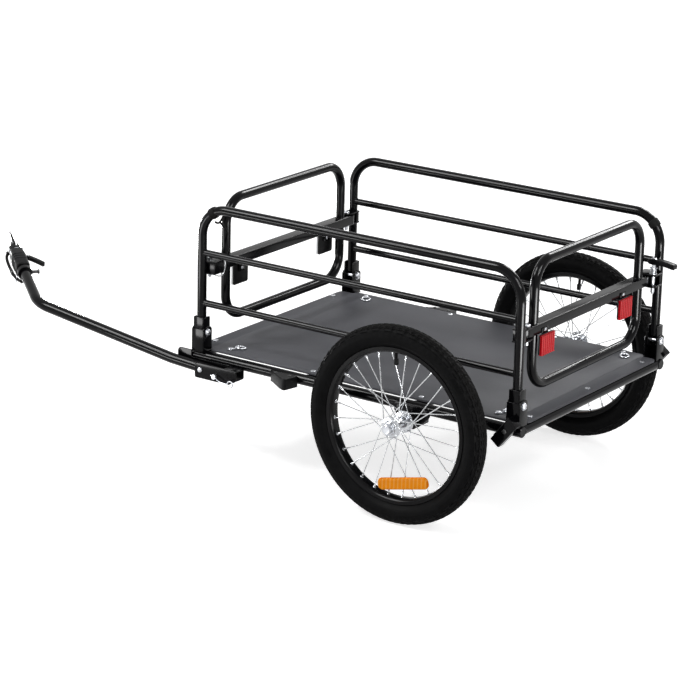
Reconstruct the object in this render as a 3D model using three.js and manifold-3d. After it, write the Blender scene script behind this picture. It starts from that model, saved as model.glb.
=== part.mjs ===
// Two-wheeled cargo trailer for a bicycle: a tubular bed with folding side panels and two swinging gates,
// quick-release wheels and a drawbar that folds under the bed.
// Millimetres, +Z up, -X to the front, where the drawbar is, and -Y to the left.
// Heights are taken from the ground. The origin is on the ground under the middle of the whole outline.
import * as THREE from "three";
import { mergeVertices } from "three/addons/utils/BufferGeometryUtils.js";
import Module from "manifold-3d";

const wasm = await Module();
wasm.setup();

// Clearance between pieces that touch, and how far a cut runs past the face that it opens
const gap = 0.3;
const overrun = 1;
// How deep one welded piece bites into the next
const weldBite = 0.2;
const mergeTolerance = 1e-4;

// Counts of facets
const tubeSides = 10;
const boltSides = 8;
const hexSides = 6;
const wireSides = 5;
const wheelSteps = 32;
const hubSteps = 10;
const spokeSides = 4;
const treadSteps = 6;
const liningSteps = 6;
const tubeRingSides = 6;
const ringSteps = 10;
const bendSteps = 4;
const cornerSteps = 3;
const strapSides = 6;
const strapSteps = 12;
const cordSteps = 10;
const tailSteps = 4;
const clipSteps = 7;
const bowSteps = 14;

// Bed, between the centre lines of its corner posts
const postSpanX = 752;
const postSpanY = 536;
const postTube = 19;
const hoopTop = 532;
const hoopBend = 60;
const postFoot = 281;
const railTube = 14;
const midRailHeight = 436.5;
const lowRailHeight = 331;

// Base frame of round tube, and the deck on it
const frameTube = 22;
const frameSpanX = 766;
const frameSpanY = 541;
const frameHeight = 219.5;
const frontCrossX = -108;
const axleX = 150;
const deckThick = 4;
const deckSpanX = 784;
const deckSpanY = 530;
const deckCorner = 12;
const notchRound = 2;

// Shoe on each post's foot, and the upright bracket on the frame that it turns in
const shoeHalf = 12.4;
const shoeWall = 1.9;
const shoeInner = 11.5;
const shoeBottom = 256;
const shoeTop = 302;
const bracketWall = 2.3;
const bracketOut = 13.5;
const bracketIn = 15;
const bracketTop = 281;
const bracketFloor = 2.2;
const plateRound = 8;
const pivotHeight = 270;
const pivotBolt = 8;
const boltHead = 14;
const boltHeadThick = 5;

// Gates: a closed loop of tube with a flat bar across it
const gateInset = 10.6;
const gateLoopSpan = 405.6;
const gateTube = 19;
const gateTop = 534;
const gateBottom = 285;
const gateBend = 50;
const barHeight = 404.5;
const barTall = 20;
const barDeep = 25;
const barReach = 247;
const gatePinReach = 235;
const gatePinOffset = 5.6;
const gatePin = 8;
const gatePinHead = 14;
const gatePinHeadThick = 4;
const gatePinBelow = 12;
const earThick = 3;
const earHalf = 12;
const saddleDeep = 1.7;
const keeperWall = 2.8;
const keeperReach = 222;
const keeperOut = 9.8;

// Reflectors hung under the gate bars
const reflectorWide = 50;
const rearReflectorTall = 41;
const frontReflectorTall = 54;
const reflectorDeep = 8;
const reflectorDrop = 10.5;
const reflectorRound = 5;
const carrierThick = 2;
const carrierWide = 22;
const rearReflectorNearY = -181;
const rearReflectorFarY = 120;
const frontReflectorNearY = -172;
const frontReflectorFarY = 131;

// Cam latch on the rear gate
const latchTip = 380;
const latchCollar = 16;
const latchCollarThick = 1.6;
const latchSpringTall = 9;
const latchSpringWide = 12.4;
const latchSpringWire = 1.6;
const latchSpringTurns = 3;
const latchEyeHeight = 444;
const latchEye = 16;
const latchEyeThick = 5;
const leverLong = 50;
const leverWide = 14;
const leverDeep = 11;
const leverTail = 11;
const leverPin = 5;
const leverDip = 4;

// Wire-lock pin on the front gate
const lockHead = 12;
const lockHeadHeight = 425;
const lockTip = 378;
const lockWire = 2.4;
const lockWireReach = 39;

// Wheels
const wheelY = 334;
const tyreRadius = 200;
const tyreWide = 45;
const casingWall = 4;
const casingSpread = THREE.MathUtils.degToRad(150);
const beadRadius = 152.5;
const rimInner = 146.7;
const rimOuter = 158;
const rimWide = 28;
const rimWall = 2.2;
const tubeRadius = 14;
const hubOut = 32;
const hubIn = 30;
const hubRadius = 13;
const hubMiddle = 9.5;
const flangeRadius = 22;
const flangeThick = 3;
const flangeOut = 22;
const flangeIn = 22;
const spokeCircle = 19;
const spokeWire = 2;
const spokeCount = 28;
const spokeCrossing = 2;
const nipple = 4.4;
const nippleLong = 10;
const axleRod = 12;
const axleHead = 20;
const axleHeadThick = 8;
const axleNeck = 1;
const valveStem = 6;
const valveLong = 27;
const valveAngle = THREE.MathUtils.degToRad(93);
const spokeReflectorLong = 118;
const spokeReflectorTall = 24;
const spokeReflectorDeep = 7;
const spokeReflectorRound = 10;
const spokeReflectorRadius = 114;
const spokeReflectorAngle = THREE.MathUtils.degToRad(-77);

// Receivers of the axles under the side tubes
const receiverHalf = 16;
const receiverBottom = 184;
const receiverOut = 301;
const receiverIn = 246;
const cheekHalf = 42;
const cheekThick = 3;
const cheekTop = 227;

// Guard ahead of each wheel, and the foot at each rear corner
const guardFront = -191;
const guardBack = -124;
const guardOut = 320;
const guardMiddle = -148;
const guardBottom = 205;
const guardTop = 229;
const guardRound = 8;
const footX = 368;
const footHeight = 221.5;
const footLong = 62;
const footWide = 25;
const footDeep = 20;
const footLean = THREE.MathUtils.degToRad(51);

// Lashing rings on the deck
const ringAcross = 21;
const ringWire = 3.2;
const ringPlateLong = 26;
const ringPlateWide = 13;
const ringPlateThick = 2.4;
const ringX = 320;
const ringY = 243;
const ringScrew = 11;
const ringLean = THREE.MathUtils.degToRad(35);

// Drawbar, in the upright plane beside the left side tube
const drawTube = 22.2;
const drawY = -296;
const drawPivotX = -347;
const drawPivotHeight = 204;
const drawTailX = -297;
const drawTailHeight = 200.5;
const drawKneeX = -430;
const drawKneeHeight = 208.5;
const drawKneeBend = 260;
const drawElbowX = -789.5;
const drawElbowHeight = 258;
const drawElbowBend = 85;
const drawPivotBolt = 10;
const couplerEndX = -1025.2;
const couplerEndY = -116;
const couplerEndHeight = 322.1;

// Hitch bracket that carries the drawbar
const hitchWall = 2.8;
const hitchOuter = 310.2;
const hitchInner = 282;
const hitchFront = -361;
const hitchEarFront = -424;
const hitchEarBack = -389;
const hitchEarTop = 232;
const hitchEarBottom = 196;
const hitchBack = -257;
const hitchBottom = 185.5;
const hitchTop = 217;
const hitchChamferX = 18;
const hitchChamferHeight = 10;
const hitchWebFront = -289;
const hitchWebThick = 3;
const lockPinX = -309;
const lockPinHeight = 197;
const lockPinRod = 7;
const lockPinDepth = 6.5;
const lockPinHead = 11;
const lockPinHeadLong = 6;
const clipWire = 2.4;
const clipRing = 13;

// Coupler on the drawbar's front end, and the hitch plate that stays on the bicycle
const sleeveRadius = 14;
const sleeveBack = 132;
const sleeveFront = 250;
const sleeveBoreEnd = 214;
const sleeveCollarRadius = 16;
const sleeveCollarLong = 12;
const plateThick = 5;
const platePivot = 240;
const platePivotPin = 6;
const plateTongue = 21;
const plateWide = 26;
const plateNeck = 256;
const plateHole = 12;
const camLeverX = 205;
const camLeverLong = 46;
const camLeverTall = 9;
const camLeverThick = 8;
const camLeverSpread = THREE.MathUtils.degToRad(39);
const camBossRadius = 7;
const camBossLong = 9;
const camPin = 4;
const pegX = 138;
const pegLong = 18;
const pegRadius = 3.6;
const strapRadius = 3.2;

// Ties on the hoops' upper corners
const tieWall = 2.4;
const tieLong = 15;
const rearTieAngle = THREE.MathUtils.degToRad(42);
const frontTieAngle = THREE.MathUtils.degToRad(58);
const tieLoopWire = 3;
const tieLoopX = 24;
const tieLoopDrop = 12;
const tieLoopWide = 29;
const tieLoopRise = 6;
const tieLoopTall = 22;
const tieTailOut = 24;
const tieTailDrop = 27;

const steelBlack = new THREE.MeshStandardMaterial({ color: 0x1b1b1e, roughness: 0.32, metalness: 0.35 });
const rimPaint = new THREE.MeshStandardMaterial({ color: 0x161618, roughness: 0.35, metalness: 0.3 });
const steelZinc = new THREE.MeshStandardMaterial({ color: 0xc9cbd0, roughness: 0.3, metalness: 1 });
const chromeBright = new THREE.MeshStandardMaterial({ color: 0xdfe2e6, roughness: 0.12, metalness: 1 });
const boardGrey = new THREE.MeshStandardMaterial({ color: 0x55575b, roughness: 0.75, metalness: 0 });
const rubberBlack = new THREE.MeshStandardMaterial({ color: 0x121213, roughness: 0.85, metalness: 0 });
const plasticBlack = new THREE.MeshStandardMaterial({ color: 0x171719, roughness: 0.55, metalness: 0 });
const lensRed = new THREE.MeshStandardMaterial({ color: 0xc11822, roughness: 0.2, metalness: 0 });
const lensClear = new THREE.MeshStandardMaterial({ color: 0xdedfe0, roughness: 0.2, metalness: 0 });
const lensAmber = new THREE.MeshStandardMaterial({ color: 0xf0861a, roughness: 0.25, metalness: 0 });

// A closed three.js geometry as a solid that can be joined and cut
function solid(geometry) {
  const bare = geometry.clone();
  bare.deleteAttribute("normal");
  bare.deleteAttribute("uv");
  const merged = mergeVertices(bare, mergeTolerance);
  const made = new wasm.Mesh({
    numProp: 3,
    vertProperties: merged.attributes.position.array,
    triVerts: new Uint32Array(merged.index.array),
  });
  return new wasm.Manifold(made);
}

function join(...pieces) {
  return pieces.reduce((sum, piece) => sum.add(piece));
}

// A solid as a named mesh
function mesh(name, piece, material) {
  const { vertProperties, triVerts } = piece.getMesh();
  const geometry = new THREE.BufferGeometry();
  geometry.setAttribute("position", new THREE.BufferAttribute(new Float32Array(vertProperties), 3));
  geometry.setIndex(new THREE.BufferAttribute(new Uint32Array(triVerts), 1));
  geometry.computeVertexNormals();
  const made = new THREE.Mesh(geometry, material);
  made.name = name;
  return made;
}

function vector(x, y, z) {
  return new THREE.Vector3(x, y, z);
}

function box(x0, x1, y0, y1, z0, z1) {
  const geometry = new THREE.BoxGeometry(Math.abs(x1 - x0), Math.abs(y1 - y0), Math.abs(z1 - z0));
  geometry.translate((x0 + x1) / 2, (y0 + y1) / 2, (z0 + z1) / 2);
  return solid(geometry);
}

// A round rod between two points; a second radius makes it a cone
function rod(from, to, radius, sides = boltSides, endRadius = radius) {
  const along = to.clone().sub(from);
  const geometry = new THREE.CylinderGeometry(endRadius, radius, along.length(), sides);
  const turn = new THREE.Quaternion().setFromUnitVectors(vector(0, 1, 0), along.clone().normalize());
  geometry.applyQuaternion(turn);
  const middle = from.clone().add(to).multiplyScalar(0.5);
  geometry.translate(middle.x, middle.y, middle.z);
  return solid(geometry);
}

// The cut for a round hole; its flats clear a rod of this radius all round
function hole(from, to, radius, sides = boltSides) {
  return rod(from, to, (radius + gap) / Math.cos(Math.PI / sides), sides);
}

// A flat outline; a corner written [a, b, r] is rounded by an arc that starts r before it and ends r after it
function outline(corners) {
  const points = [];
  corners.forEach(([a, b, round = 0], i) => {
    const here = new THREE.Vector2(a, b);
    if (round === 0) {
      points.push(here);
      return;
    }
    const [pa, pb] = corners[(i + corners.length - 1) % corners.length];
    const [na, nb] = corners[(i + 1) % corners.length];
    const before = new THREE.Vector2(pa, pb).sub(here).setLength(round);
    const after = new THREE.Vector2(na, nb).sub(here).setLength(round);
    const weight = Math.sin(before.angleTo(after) / 2);
    for (let k = 0; k <= cornerSteps; k++) {
      const t = k / cornerSteps;
      const share = 1 - t;
      const sum = share * share + 2 * weight * t * share + t * t;
      const point = before.clone().multiplyScalar((share * share) / sum);
      points.push(point.addScaledVector(after, (t * t) / sum).add(here));
    }
  });
  return new THREE.Shape(points.filter((point, i) => i === 0 || point.distanceTo(points[i - 1]) > mergeTolerance));
}

// An outline made solid between two places on an axis: outlines across x are (y, z), across y (x, z)
// and across z (x, y)
function slab(shape, axis, from, to) {
  const low = Math.min(from, to);
  const high = Math.max(from, to);
  const geometry = new THREE.ExtrudeGeometry(shape, { depth: high - low, bevelEnabled: false });
  const turn = new THREE.Matrix4();
  if (axis === "x") turn.makeBasis(vector(0, 1, 0), vector(0, 0, 1), vector(1, 0, 0)).setPosition(low, 0, 0);
  if (axis === "y") turn.makeBasis(vector(1, 0, 0), vector(0, 0, 1), vector(0, -1, 0)).setPosition(0, high, 0);
  if (axis === "z") turn.setPosition(0, 0, low);
  return solid(geometry.applyMatrix4(turn));
}

function circle(radius, sides) {
  const points = [];
  for (let i = 0; i < sides; i++) {
    const angle = (2 * Math.PI * (i + 0.5)) / sides;
    points.push(new THREE.Vector2(radius * Math.cos(angle), radius * Math.sin(angle)));
  }
  return new THREE.Shape(points);
}

// A line with round bends: stations only where it turns, so a straight run is one step
class BentLine extends THREE.Curve {
  constructor(points, bends) {
    super();
    this.stations = [points[0].clone()];
    this.headings = [points[1].clone().sub(points[0]).normalize()];
    for (let i = 1; i < points.length - 1; i++) this.turn(points, i, bends[i - 1]);
    this.stations.push(points.at(-1).clone());
    this.headings.push(points.at(-1).clone().sub(points.at(-2)).normalize());
  }

  turn(points, i, radius) {
    const inward = points[i].clone().sub(points[i - 1]).normalize();
    const outward = points[i + 1].clone().sub(points[i]).normalize();
    const angle = inward.angleTo(outward);
    const cut = radius * Math.tan(angle / 2);
    const start = points[i].clone().addScaledVector(inward, -cut);
    const axis = inward.clone().cross(outward).normalize();
    const toCentre = axis.clone().cross(inward);
    const centre = start.clone().addScaledVector(toCentre, radius);
    for (let k = 0; k <= bendSteps; k++) {
      const part = (angle * k) / bendSteps;
      const spoke = toCentre.clone().multiplyScalar(-radius).applyAxisAngle(axis, part);
      this.stations.push(centre.clone().add(spoke));
      this.headings.push(inward.clone().applyAxisAngle(axis, part));
    }
  }

  getPointAt(u, target = new THREE.Vector3()) {
    const place = u * (this.stations.length - 1);
    const i = Math.min(Math.floor(place + 1e-9), this.stations.length - 2);
    return target.lerpVectors(this.stations[i], this.stations[i + 1], place - i);
  }

  getPoint(t, target) {
    return this.getPointAt(t, target);
  }

  getTangentAt(u, target = new THREE.Vector3()) {
    const i = Math.round(u * (this.stations.length - 1));
    return target.copy(this.headings[i]);
  }

  tube(radius, sides = tubeSides) {
    const steps = this.stations.length - 1;
    const options = { extrudePath: this, steps, bevelEnabled: false };
    return solid(new THREE.ExtrudeGeometry(circle(radius, sides), options));
  }
}

// A smooth wire through points
function wire(points, radius, steps, sides = wireSides) {
  const path = new THREE.CatmullRomCurve3(points, false, "centripetal");
  const options = { extrudePath: path, steps, bevelEnabled: false };
  return solid(new THREE.ExtrudeGeometry(circle(radius, sides), options));
}

// A closed profile of (radius, height) turned about Z
function turned(profile, steps = boltSides) {
  const points = profile.map(([radius, height]) => new THREE.Vector2(radius, height));
  const geometry = new THREE.LatheGeometry(points, steps);
  return solid(geometry.rotateX(Math.PI / 2));
}

const halfX = postSpanX / 2;
const halfY = postSpanY / 2;
const postRadius = postTube / 2;
const frameRadius = frameTube / 2;
const frameX = frameSpanX / 2;
const frameY = frameSpanY / 2;
const frameTop = frameHeight + frameRadius;
const deckBottom = frameTop + gap;
const deckTop = deckBottom + deckThick;
const gateX = halfX - gateInset;
const barHalf = barTall / 2;
const barLow = barHeight - barHalf;
const barHigh = barHeight + barHalf;
const pinX = gateX + gatePinOffset;
const pinRadius = gatePin / 2;
const keeperPinX = gateX + barDeep / 2 + gap + pinRadius;
const upperEar = barHigh + gap;
const lowerEar = barLow - gap - earThick;
const wallX = shoeHalf + gap;
const bracketY = halfY + bracketOut;

// Base frame: two side tubes, four cross tubes and an upright bracket at each corner
function baseFrame() {
  const reach = frameX + frameRadius;
  const pieces = [-frameY, frameY].map((y) =>
    rod(vector(-reach, y, frameHeight), vector(reach, y, frameHeight), frameRadius, tubeSides));
  for (const x of [-frameX, frontCrossX, axleX, frameX]) {
    pieces.push(rod(vector(x, -frameY, frameHeight), vector(x, frameY, frameHeight), frameRadius, tubeSides));
  }
  for (const sx of [-1, 1]) for (const sy of [-1, 1]) pieces.push(cornerBracket(sx * halfX, sy));
  return mesh("base_frame", join(...pieces), steelBlack);
}

// Channel that stands on the frame's corner, its back outside and its two ears fore and aft of the shoe
function cornerBracket(x, side) {
  const out = side * bracketY;
  const inner = side * (halfY - bracketIn);
  const floor = frameTop - weldBite;
  const ear = outline([
    [out, floor],
    [out, bracketTop, plateRound],
    [inner, bracketTop, plateRound],
    [inner, floor],
  ]);
  const ears = slab(ear, "x", x - wallX - bracketWall, x + wallX + bracketWall);
  const inside = box(x - wallX, x + wallX, out - side * bracketWall, inner - side * overrun,
    floor + bracketFloor, bracketTop + overrun);
  return ears.subtract(inside).subtract(pivotBore(x, side));
}

function pivotBore(x, side) {
  const reach = wallX + bracketWall + overrun;
  const y = side * halfY;
  return hole(vector(x - reach, y, pivotHeight), vector(x + reach, y, pivotHeight), pivotBolt / 2);
}

// Bolt along X that a side panel turns on, its head to the rear and its nut to the front
function pivotBoltPiece(name, x, side) {
  const face = wallX + bracketWall + gap;
  const y = side * halfY;
  const shank = rod(vector(-face, 0, 0), vector(face, 0, 0), pivotBolt / 2);
  const head = rod(vector(face - weldBite, 0, 0), vector(face + boltHeadThick, 0, 0), boltHead / 2);
  const nut = rod(vector(-face - boltHeadThick, 0, 0), vector(weldBite - face, 0, 0), boltHead / 2, hexSides);
  const piece = mesh(name, join(shank, head, nut), steelZinc);
  piece.position.set(x, y, pivotHeight);
  return piece;
}

// Deck board with a notch round each corner bracket
function deckBoard() {
  const x = deckSpanX / 2;
  const y = deckSpanY / 2;
  const notchX = halfX - wallX - bracketWall - overrun;
  const notchY = halfY - bracketIn - overrun;
  const quarter = [[notchX, y, deckCorner], [notchX, notchY, notchRound], [x, notchY, deckCorner]];
  const corners = [];
  for (const [sx, sy] of [[-1, -1], [1, -1], [1, 1], [-1, 1]]) {
    const turnedQuarter = quarter.map(([a, b, r]) => [sx * a, sy * b, r]);
    corners.push(...(sx * sy > 0 ? turnedQuarter.reverse() : turnedQuarter));
  }
  return mesh("deck_board", slab(outline(corners), "z", deckBottom, deckTop), boardGrey);
}

// Side panel: a hoop with two rails across it, the shoes on its feet and, on its posts, a gate's hinge and the
// other gate's keeper, all welded
function sidePanel(name, side) {
  const y = side * halfY;
  const corners = [[-halfX, postFoot], [-halfX, hoopTop], [halfX, hoopTop], [halfX, postFoot]];
  const line = new BentLine(corners.map(([x, z]) => vector(x, y, z)), [hoopBend, hoopBend]);
  let piece = line.tube(postRadius);
  for (const x of [-halfX, halfX]) piece = piece.add(shoe(x, side));
  for (const height of [lowRailHeight, midRailHeight]) {
    piece = piece.add(rod(vector(-halfX, y, height), vector(halfX, y, height), railTube / 2, tubeSides));
  }
  piece = piece.add(hingeEars(-side)).add(keeperEars(side));
  return mesh(name, piece, steelBlack);
}

// Channel round a post's foot, open towards the bed, with the pivot bolt across it below the tube
function shoe(x, side) {
  const out = side * (bracketY - bracketWall - gap);
  const inner = side * (halfY - shoeInner);
  const cheek = outline([
    [out, shoeBottom, plateRound],
    [out, shoeTop],
    [inner, shoeTop],
    [inner, shoeBottom, plateRound],
  ]);
  const channel = slab(cheek, "x", x - shoeHalf, x + shoeHalf);
  const hollowX = postRadius - weldBite;
  const hollow = box(x - hollowX, x + hollowX, out - side * shoeWall, inner - side * overrun,
    shoeBottom - overrun, shoeTop + overrun);
  return channel.subtract(hollow).subtract(pivotBore(x, side));
}

// Two ears that reach in from a post and hold a gate's hinge pin. The rear gate's are on the left side.
function hingeEars(end) {
  const side = -end;
  const x = end * pinX;
  const y = side * gatePinReach;
  const postY = side * halfY;
  const web = side * (halfY - postRadius - saddleDeep);
  const ear = outline([
    [x - earHalf, postY],
    [x + earHalf, postY],
    [x + earHalf, y - side * earHalf, earHalf],
    [x - earHalf, y - side * earHalf, earHalf],
  ]);
  const block = slab(ear, "z", lowerEar, upperEar + earThick);
  const mouth = box(x - earHalf - overrun, x + earHalf + overrun, web, y - side * (earHalf + overrun),
    barLow - gap, barHigh + gap);
  const bore = hole(vector(x, y, lowerEar - overrun), vector(x, y, upperEar + earThick + overrun), pinRadius);
  return block.subtract(mouth).subtract(bore);
}

// Keeper on the post across from the hinge: a channel open to the outside, closed by the latch pin.
// The rear gate's is on the right side.
function keeperEars(side) {
  const end = side;
  const postY = side * halfY;
  const reach = side * keeperReach;
  const inner = end * (gateX - barDeep / 2 - gap - keeperWall);
  const outer = end * (keeperPinX + keeperOut);
  const ear = outline([
    [inner, reach],
    [outer, reach, plateRound],
    [outer, postY - side * postRadius, plateRound],
    [end * halfX, postY],
    [inner, postY - side * postRadius],
  ]);
  const block = slab(ear, "z", lowerEar, upperEar + earThick);
  const mouth = box(end * (gateX - barDeep / 2 - gap), outer + end * overrun,
    side * (halfY - postRadius - saddleDeep), reach - side * overrun, barLow - gap, barHigh + gap);
  const x = end * keeperPinX;
  const y = side * gatePinReach;
  const bore = hole(vector(x, y, lowerEar - overrun), vector(x, y, upperEar + earThick + overrun), pinRadius);
  return block.subtract(mouth).subtract(bore);
}

// Gate loop, in the gate's own frame: X outwards, Y across from the hinge side, Z up from the ground
function gateLoop(name) {
  const half = gateLoopSpan / 2;
  const radius = gateTube / 2;
  const halves = [-1, 1].map((side) => {
    const corners = [
      vector(0, -side * overrun, gateBottom),
      vector(0, side * half, gateBottom),
      vector(0, side * half, gateTop),
      vector(0, -side * overrun, gateTop),
    ];
    return new BentLine(corners, [gateBend, gateBend]).tube(radius);
  });
  return mesh(name, join(...halves), steelBlack);
}

// Flat bar across the loop, with round ends, bored for the loop's uprights and for the hinge pin
function gateBar(name, reflectorPlaces, reflectorTall) {
  const depth = barDeep / 2;
  const bar = slab(outline([
    [-depth, -barReach, depth],
    [depth, -barReach, depth],
    [depth, barReach, depth],
    [-depth, barReach, depth],
  ]), "z", barLow, barHigh);
  const low = barLow - overrun;
  const high = barHigh + overrun;
  const bores = [-1, 1].map((side) => {
    const y = (side * gateLoopSpan) / 2;
    return hole(vector(0, y, low), vector(0, y, high), gateTube / 2, tubeSides);
  });
  bores.push(hole(vector(gatePinOffset, -gatePinReach, low), vector(gatePinOffset, -gatePinReach, high), pinRadius));
  const hangers = reflectorPlaces.map((y) => carrier(y, reflectorTall));
  return mesh(name, join(bar.subtract(join(...bores)), ...hangers), steelBlack);
}

// Strip bent down from the bar's outer face to hold a reflector
function carrier(y, reflectorTall) {
  const face = barDeep / 2;
  const drop = barLow - reflectorDrop - reflectorTall / 2;
  return box(face - weldBite, face + carrierThick, y - carrierWide / 2, y + carrierWide / 2, drop, barHeight);
}

function gateReflector(name, y, reflectorTall, material) {
  const back = barDeep / 2 + carrierThick + gap;
  const half = reflectorWide / 2;
  const top = barHeight - reflectorDrop;
  const shape = outline([
    [y - half, top - reflectorTall, reflectorRound],
    [y + half, top - reflectorTall, reflectorRound],
    [y + half, top, reflectorRound],
    [y - half, top, reflectorRound],
  ]);
  return mesh(name, slab(shape, "x", back, back + reflectorDeep), material);
}

// Hinge pin with a head on the upper ear
function hingePin(name) {
  const low = lowerEar - gatePinBelow;
  const high = upperEar + earThick + gap;
  const shank = rod(vector(0, 0, low), vector(0, 0, high + weldBite), pinRadius);
  const head = rod(vector(0, 0, high), vector(0, 0, high + gatePinHeadThick), gatePinHead / 2);
  const nut = rod(vector(0, 0, lowerEar - gap - gatePinHeadThick), vector(0, 0, lowerEar - gap),
    gatePinHead / 2, hexSides);
  return mesh(name, join(shank, head, nut), steelZinc);
}

// A gate in its own group, turned half round for the front
function gate(name, lens, reflectorPlaces, reflectorTall) {
  const group = new THREE.Group();
  const panel = new THREE.Group();
  panel.position.set(gateX, 0, 0);
  panel.add(gateLoop(name + "_gate_loop"), gateBar(name + "_gate_bar", reflectorPlaces, reflectorTall));
  const near = name === "rear" ? "left" : "right";
  const far = name === "rear" ? "right" : "left";
  const [nearY, farY] = reflectorPlaces;
  panel.add(gateReflector(name + "_" + near + "_reflector", nearY, reflectorTall, lens));
  panel.add(gateReflector(name + "_" + far + "_reflector", farY, reflectorTall, lens));
  const pin = hingePin(name + "_gate_hinge_pin");
  pin.position.set(pinX, -gatePinReach, 0);
  group.add(panel, pin);
  return group;
}

// Latch pin with its collars, spring seat and the flat eye that the lever turns on; drawn straight up
function latchPin() {
  const seat = upperEar + earThick + gap;
  const springLow = seat + latchCollarThick + gap;
  const springHigh = springLow + latchSpringTall;
  const shank = rod(vector(0, 0, latchTip), vector(0, 0, latchEyeHeight), pinRadius - weldBite);
  const point = rod(vector(0, 0, latchTip - pinRadius), vector(0, 0, latchTip), pinRadius / 2, boltSides,
    pinRadius - weldBite);
  const lower = rod(vector(0, 0, seat), vector(0, 0, seat + latchCollarThick), latchCollar / 2);
  const upper = rod(vector(0, 0, springHigh + gap), vector(0, 0, springHigh + gap + latchCollarThick),
    latchCollar / 2);
  const flat = latchEyeThick / 2;
  const eye = rod(vector(0, -flat, latchEyeHeight), vector(0, flat, latchEyeHeight), latchEye / 2);
  const arm = (leverWide / 2) - gap;
  const cross = rod(vector(0, -arm, latchEyeHeight), vector(0, arm, latchEyeHeight), leverPin / 2);
  const trim = box(-latchEye, latchEye, flat, latchEye, springHigh + latchCollarThick + 2 * gap,
    latchEyeHeight + latchEye);
  const shoulder = trim.add(box(-latchEye, latchEye, -latchEye, -flat,
    springHigh + latchCollarThick + 2 * gap, latchEyeHeight + latchEye));
  return mesh("rear_latch_pin", join(shank.subtract(shoulder), point, lower, upper, eye, cross), steelZinc);
}

// Helix of the latch spring, in one unbroken tube
function latchSpring() {
  const radius = (latchSpringWide - latchSpringWire) / 2;
  const low = upperEar + earThick + latchCollarThick + 2 * gap + latchSpringWire / 2;
  const rise = latchSpringTall - latchSpringWire;
  const points = [];
  const stepsPerTurn = 8;
  const steps = latchSpringTurns * stepsPerTurn;
  for (let i = 0; i <= steps; i++) {
    const angle = (2 * Math.PI * i) / stepsPerTurn;
    points.push(vector(radius * Math.cos(angle), radius * Math.sin(angle), low + (rise * i) / steps));
  }
  const pitch = rise / latchSpringTurns;
  console.log("latch spring, least gap between turns: " + (pitch - latchSpringWire).toFixed(2) + " mm");
  return mesh("rear_latch_spring", wire(points, latchSpringWire / 2, steps, 5), steelZinc);
}

// Cam lever: a forked head on the pin's eye and a handle that dips at its grip
function latchLever() {
  const half = leverDeep / 2;
  const handle = outline([
    [-leverTail, -half, half],
    [leverLong * 0.5, -half],
    [leverLong, -half - leverDip, half / 2],
    [leverLong, half - leverDip, half / 2],
    [leverLong * 0.5, half],
    [-leverTail, half, half],
  ]);
  const bar = slab(handle, "y", -leverWide / 2, leverWide / 2);
  const slot = latchEyeThick / 2 + gap;
  const mouth = box(-leverTail - overrun, latchEye / 2 + gap, -slot, slot, -leverDeep, leverDeep);
  const bore = hole(vector(0, -leverWide, 0), vector(0, leverWide, 0), leverPin / 2);
  return mesh("rear_latch_lever", bar.subtract(mouth).subtract(bore), plasticBlack);
}

// Front latch: a pin with a round head, crossed by the wire bow that snaps under its tip
function frontLatchPin() {
  const seat = upperEar + earThick + gap;
  const shank = rod(vector(0, 0, lockTip), vector(0, 0, lockHeadHeight), pinRadius - weldBite);
  const collar = rod(vector(0, 0, seat), vector(0, 0, seat + latchCollarThick), lockHead / 2);
  const head = rod(vector(0, 0, lockHeadHeight - lockHead / 3), vector(0, 0, lockHeadHeight + lockHead / 3),
    lockHead / 2);
  const bore = hole(vector(0, 0, lockHeadHeight), vector(lockHead, 0, lockHeadHeight), lockWire / 2, wireSides);
  return mesh("front_latch_pin", join(shank, collar, head).subtract(bore), steelZinc);
}

// Wire bow from the pin's head round the bar's end to the pin's tip
function frontLatchBow() {
  const drop = lockHeadHeight - lockTip;
  const clear = pinRadius + gap;
  const reach = lockWireReach;
  const points = [
    vector(clear / 2, 0, 0),
    vector(clear * 2, 0, 0),
    vector(reach * 0.9, 0, -drop * 0.06),
    vector(reach, 0, -drop * 0.46),
    vector(reach * 0.8, 0, -drop * 0.86),
    vector(clear * 2, 0, -drop * 0.92),
    vector(clear, 0, -drop * 0.92),
  ];
  return mesh("front_latch_bow", wire(points, lockWire / 2, bowSteps), chromeBright);
}

// A closed profile of (radius, place along Y) turned about Y
function revolved(profile, steps = wheelSteps) {
  const points = profile.map(([radius, y]) => new THREE.Vector2(radius, y));
  points.push(points[0].clone());
  return solid(new THREE.LatheGeometry(points, steps));
}

// Tyre casing, open towards the rim, with its beads on the rim's seats
function tyre(name) {
  const middle = tyreRadius - tyreWide / 2;
  const arc = (radius, steps, sign) => Array.from({ length: steps + 1 }, (_, i) => {
    const angle = sign * casingSpread * ((2 * i) / steps - 1);
    return [middle + radius * Math.cos(angle), radius * Math.sin(angle)];
  });
  const bead = (tyreWide / 2) * Math.sin(casingSpread);
  const seat = beadRadius + gap;
  const profile = [
    ...arc(tyreWide / 2, treadSteps, 1),
    [seat, bead],
    [seat, bead - casingWall],
    ...arc(tyreWide / 2 - casingWall, liningSteps, -1),
    [seat, casingWall - bead],
    [seat, -bead],
  ];
  return mesh(name, revolved(profile), rubberBlack);
}

// Inflated tube inside the casing
function innerTube(name) {
  const middle = tyreRadius - casingWall - gap - tubeRadius;
  const profile = Array.from({ length: tubeRingSides }, (_, i) => {
    const angle = (2 * Math.PI * i) / tubeRingSides;
    return [middle + tubeRadius * Math.cos(angle), tubeRadius * Math.sin(angle)];
  });
  return mesh(name, revolved(profile), rubberBlack);
}

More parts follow.
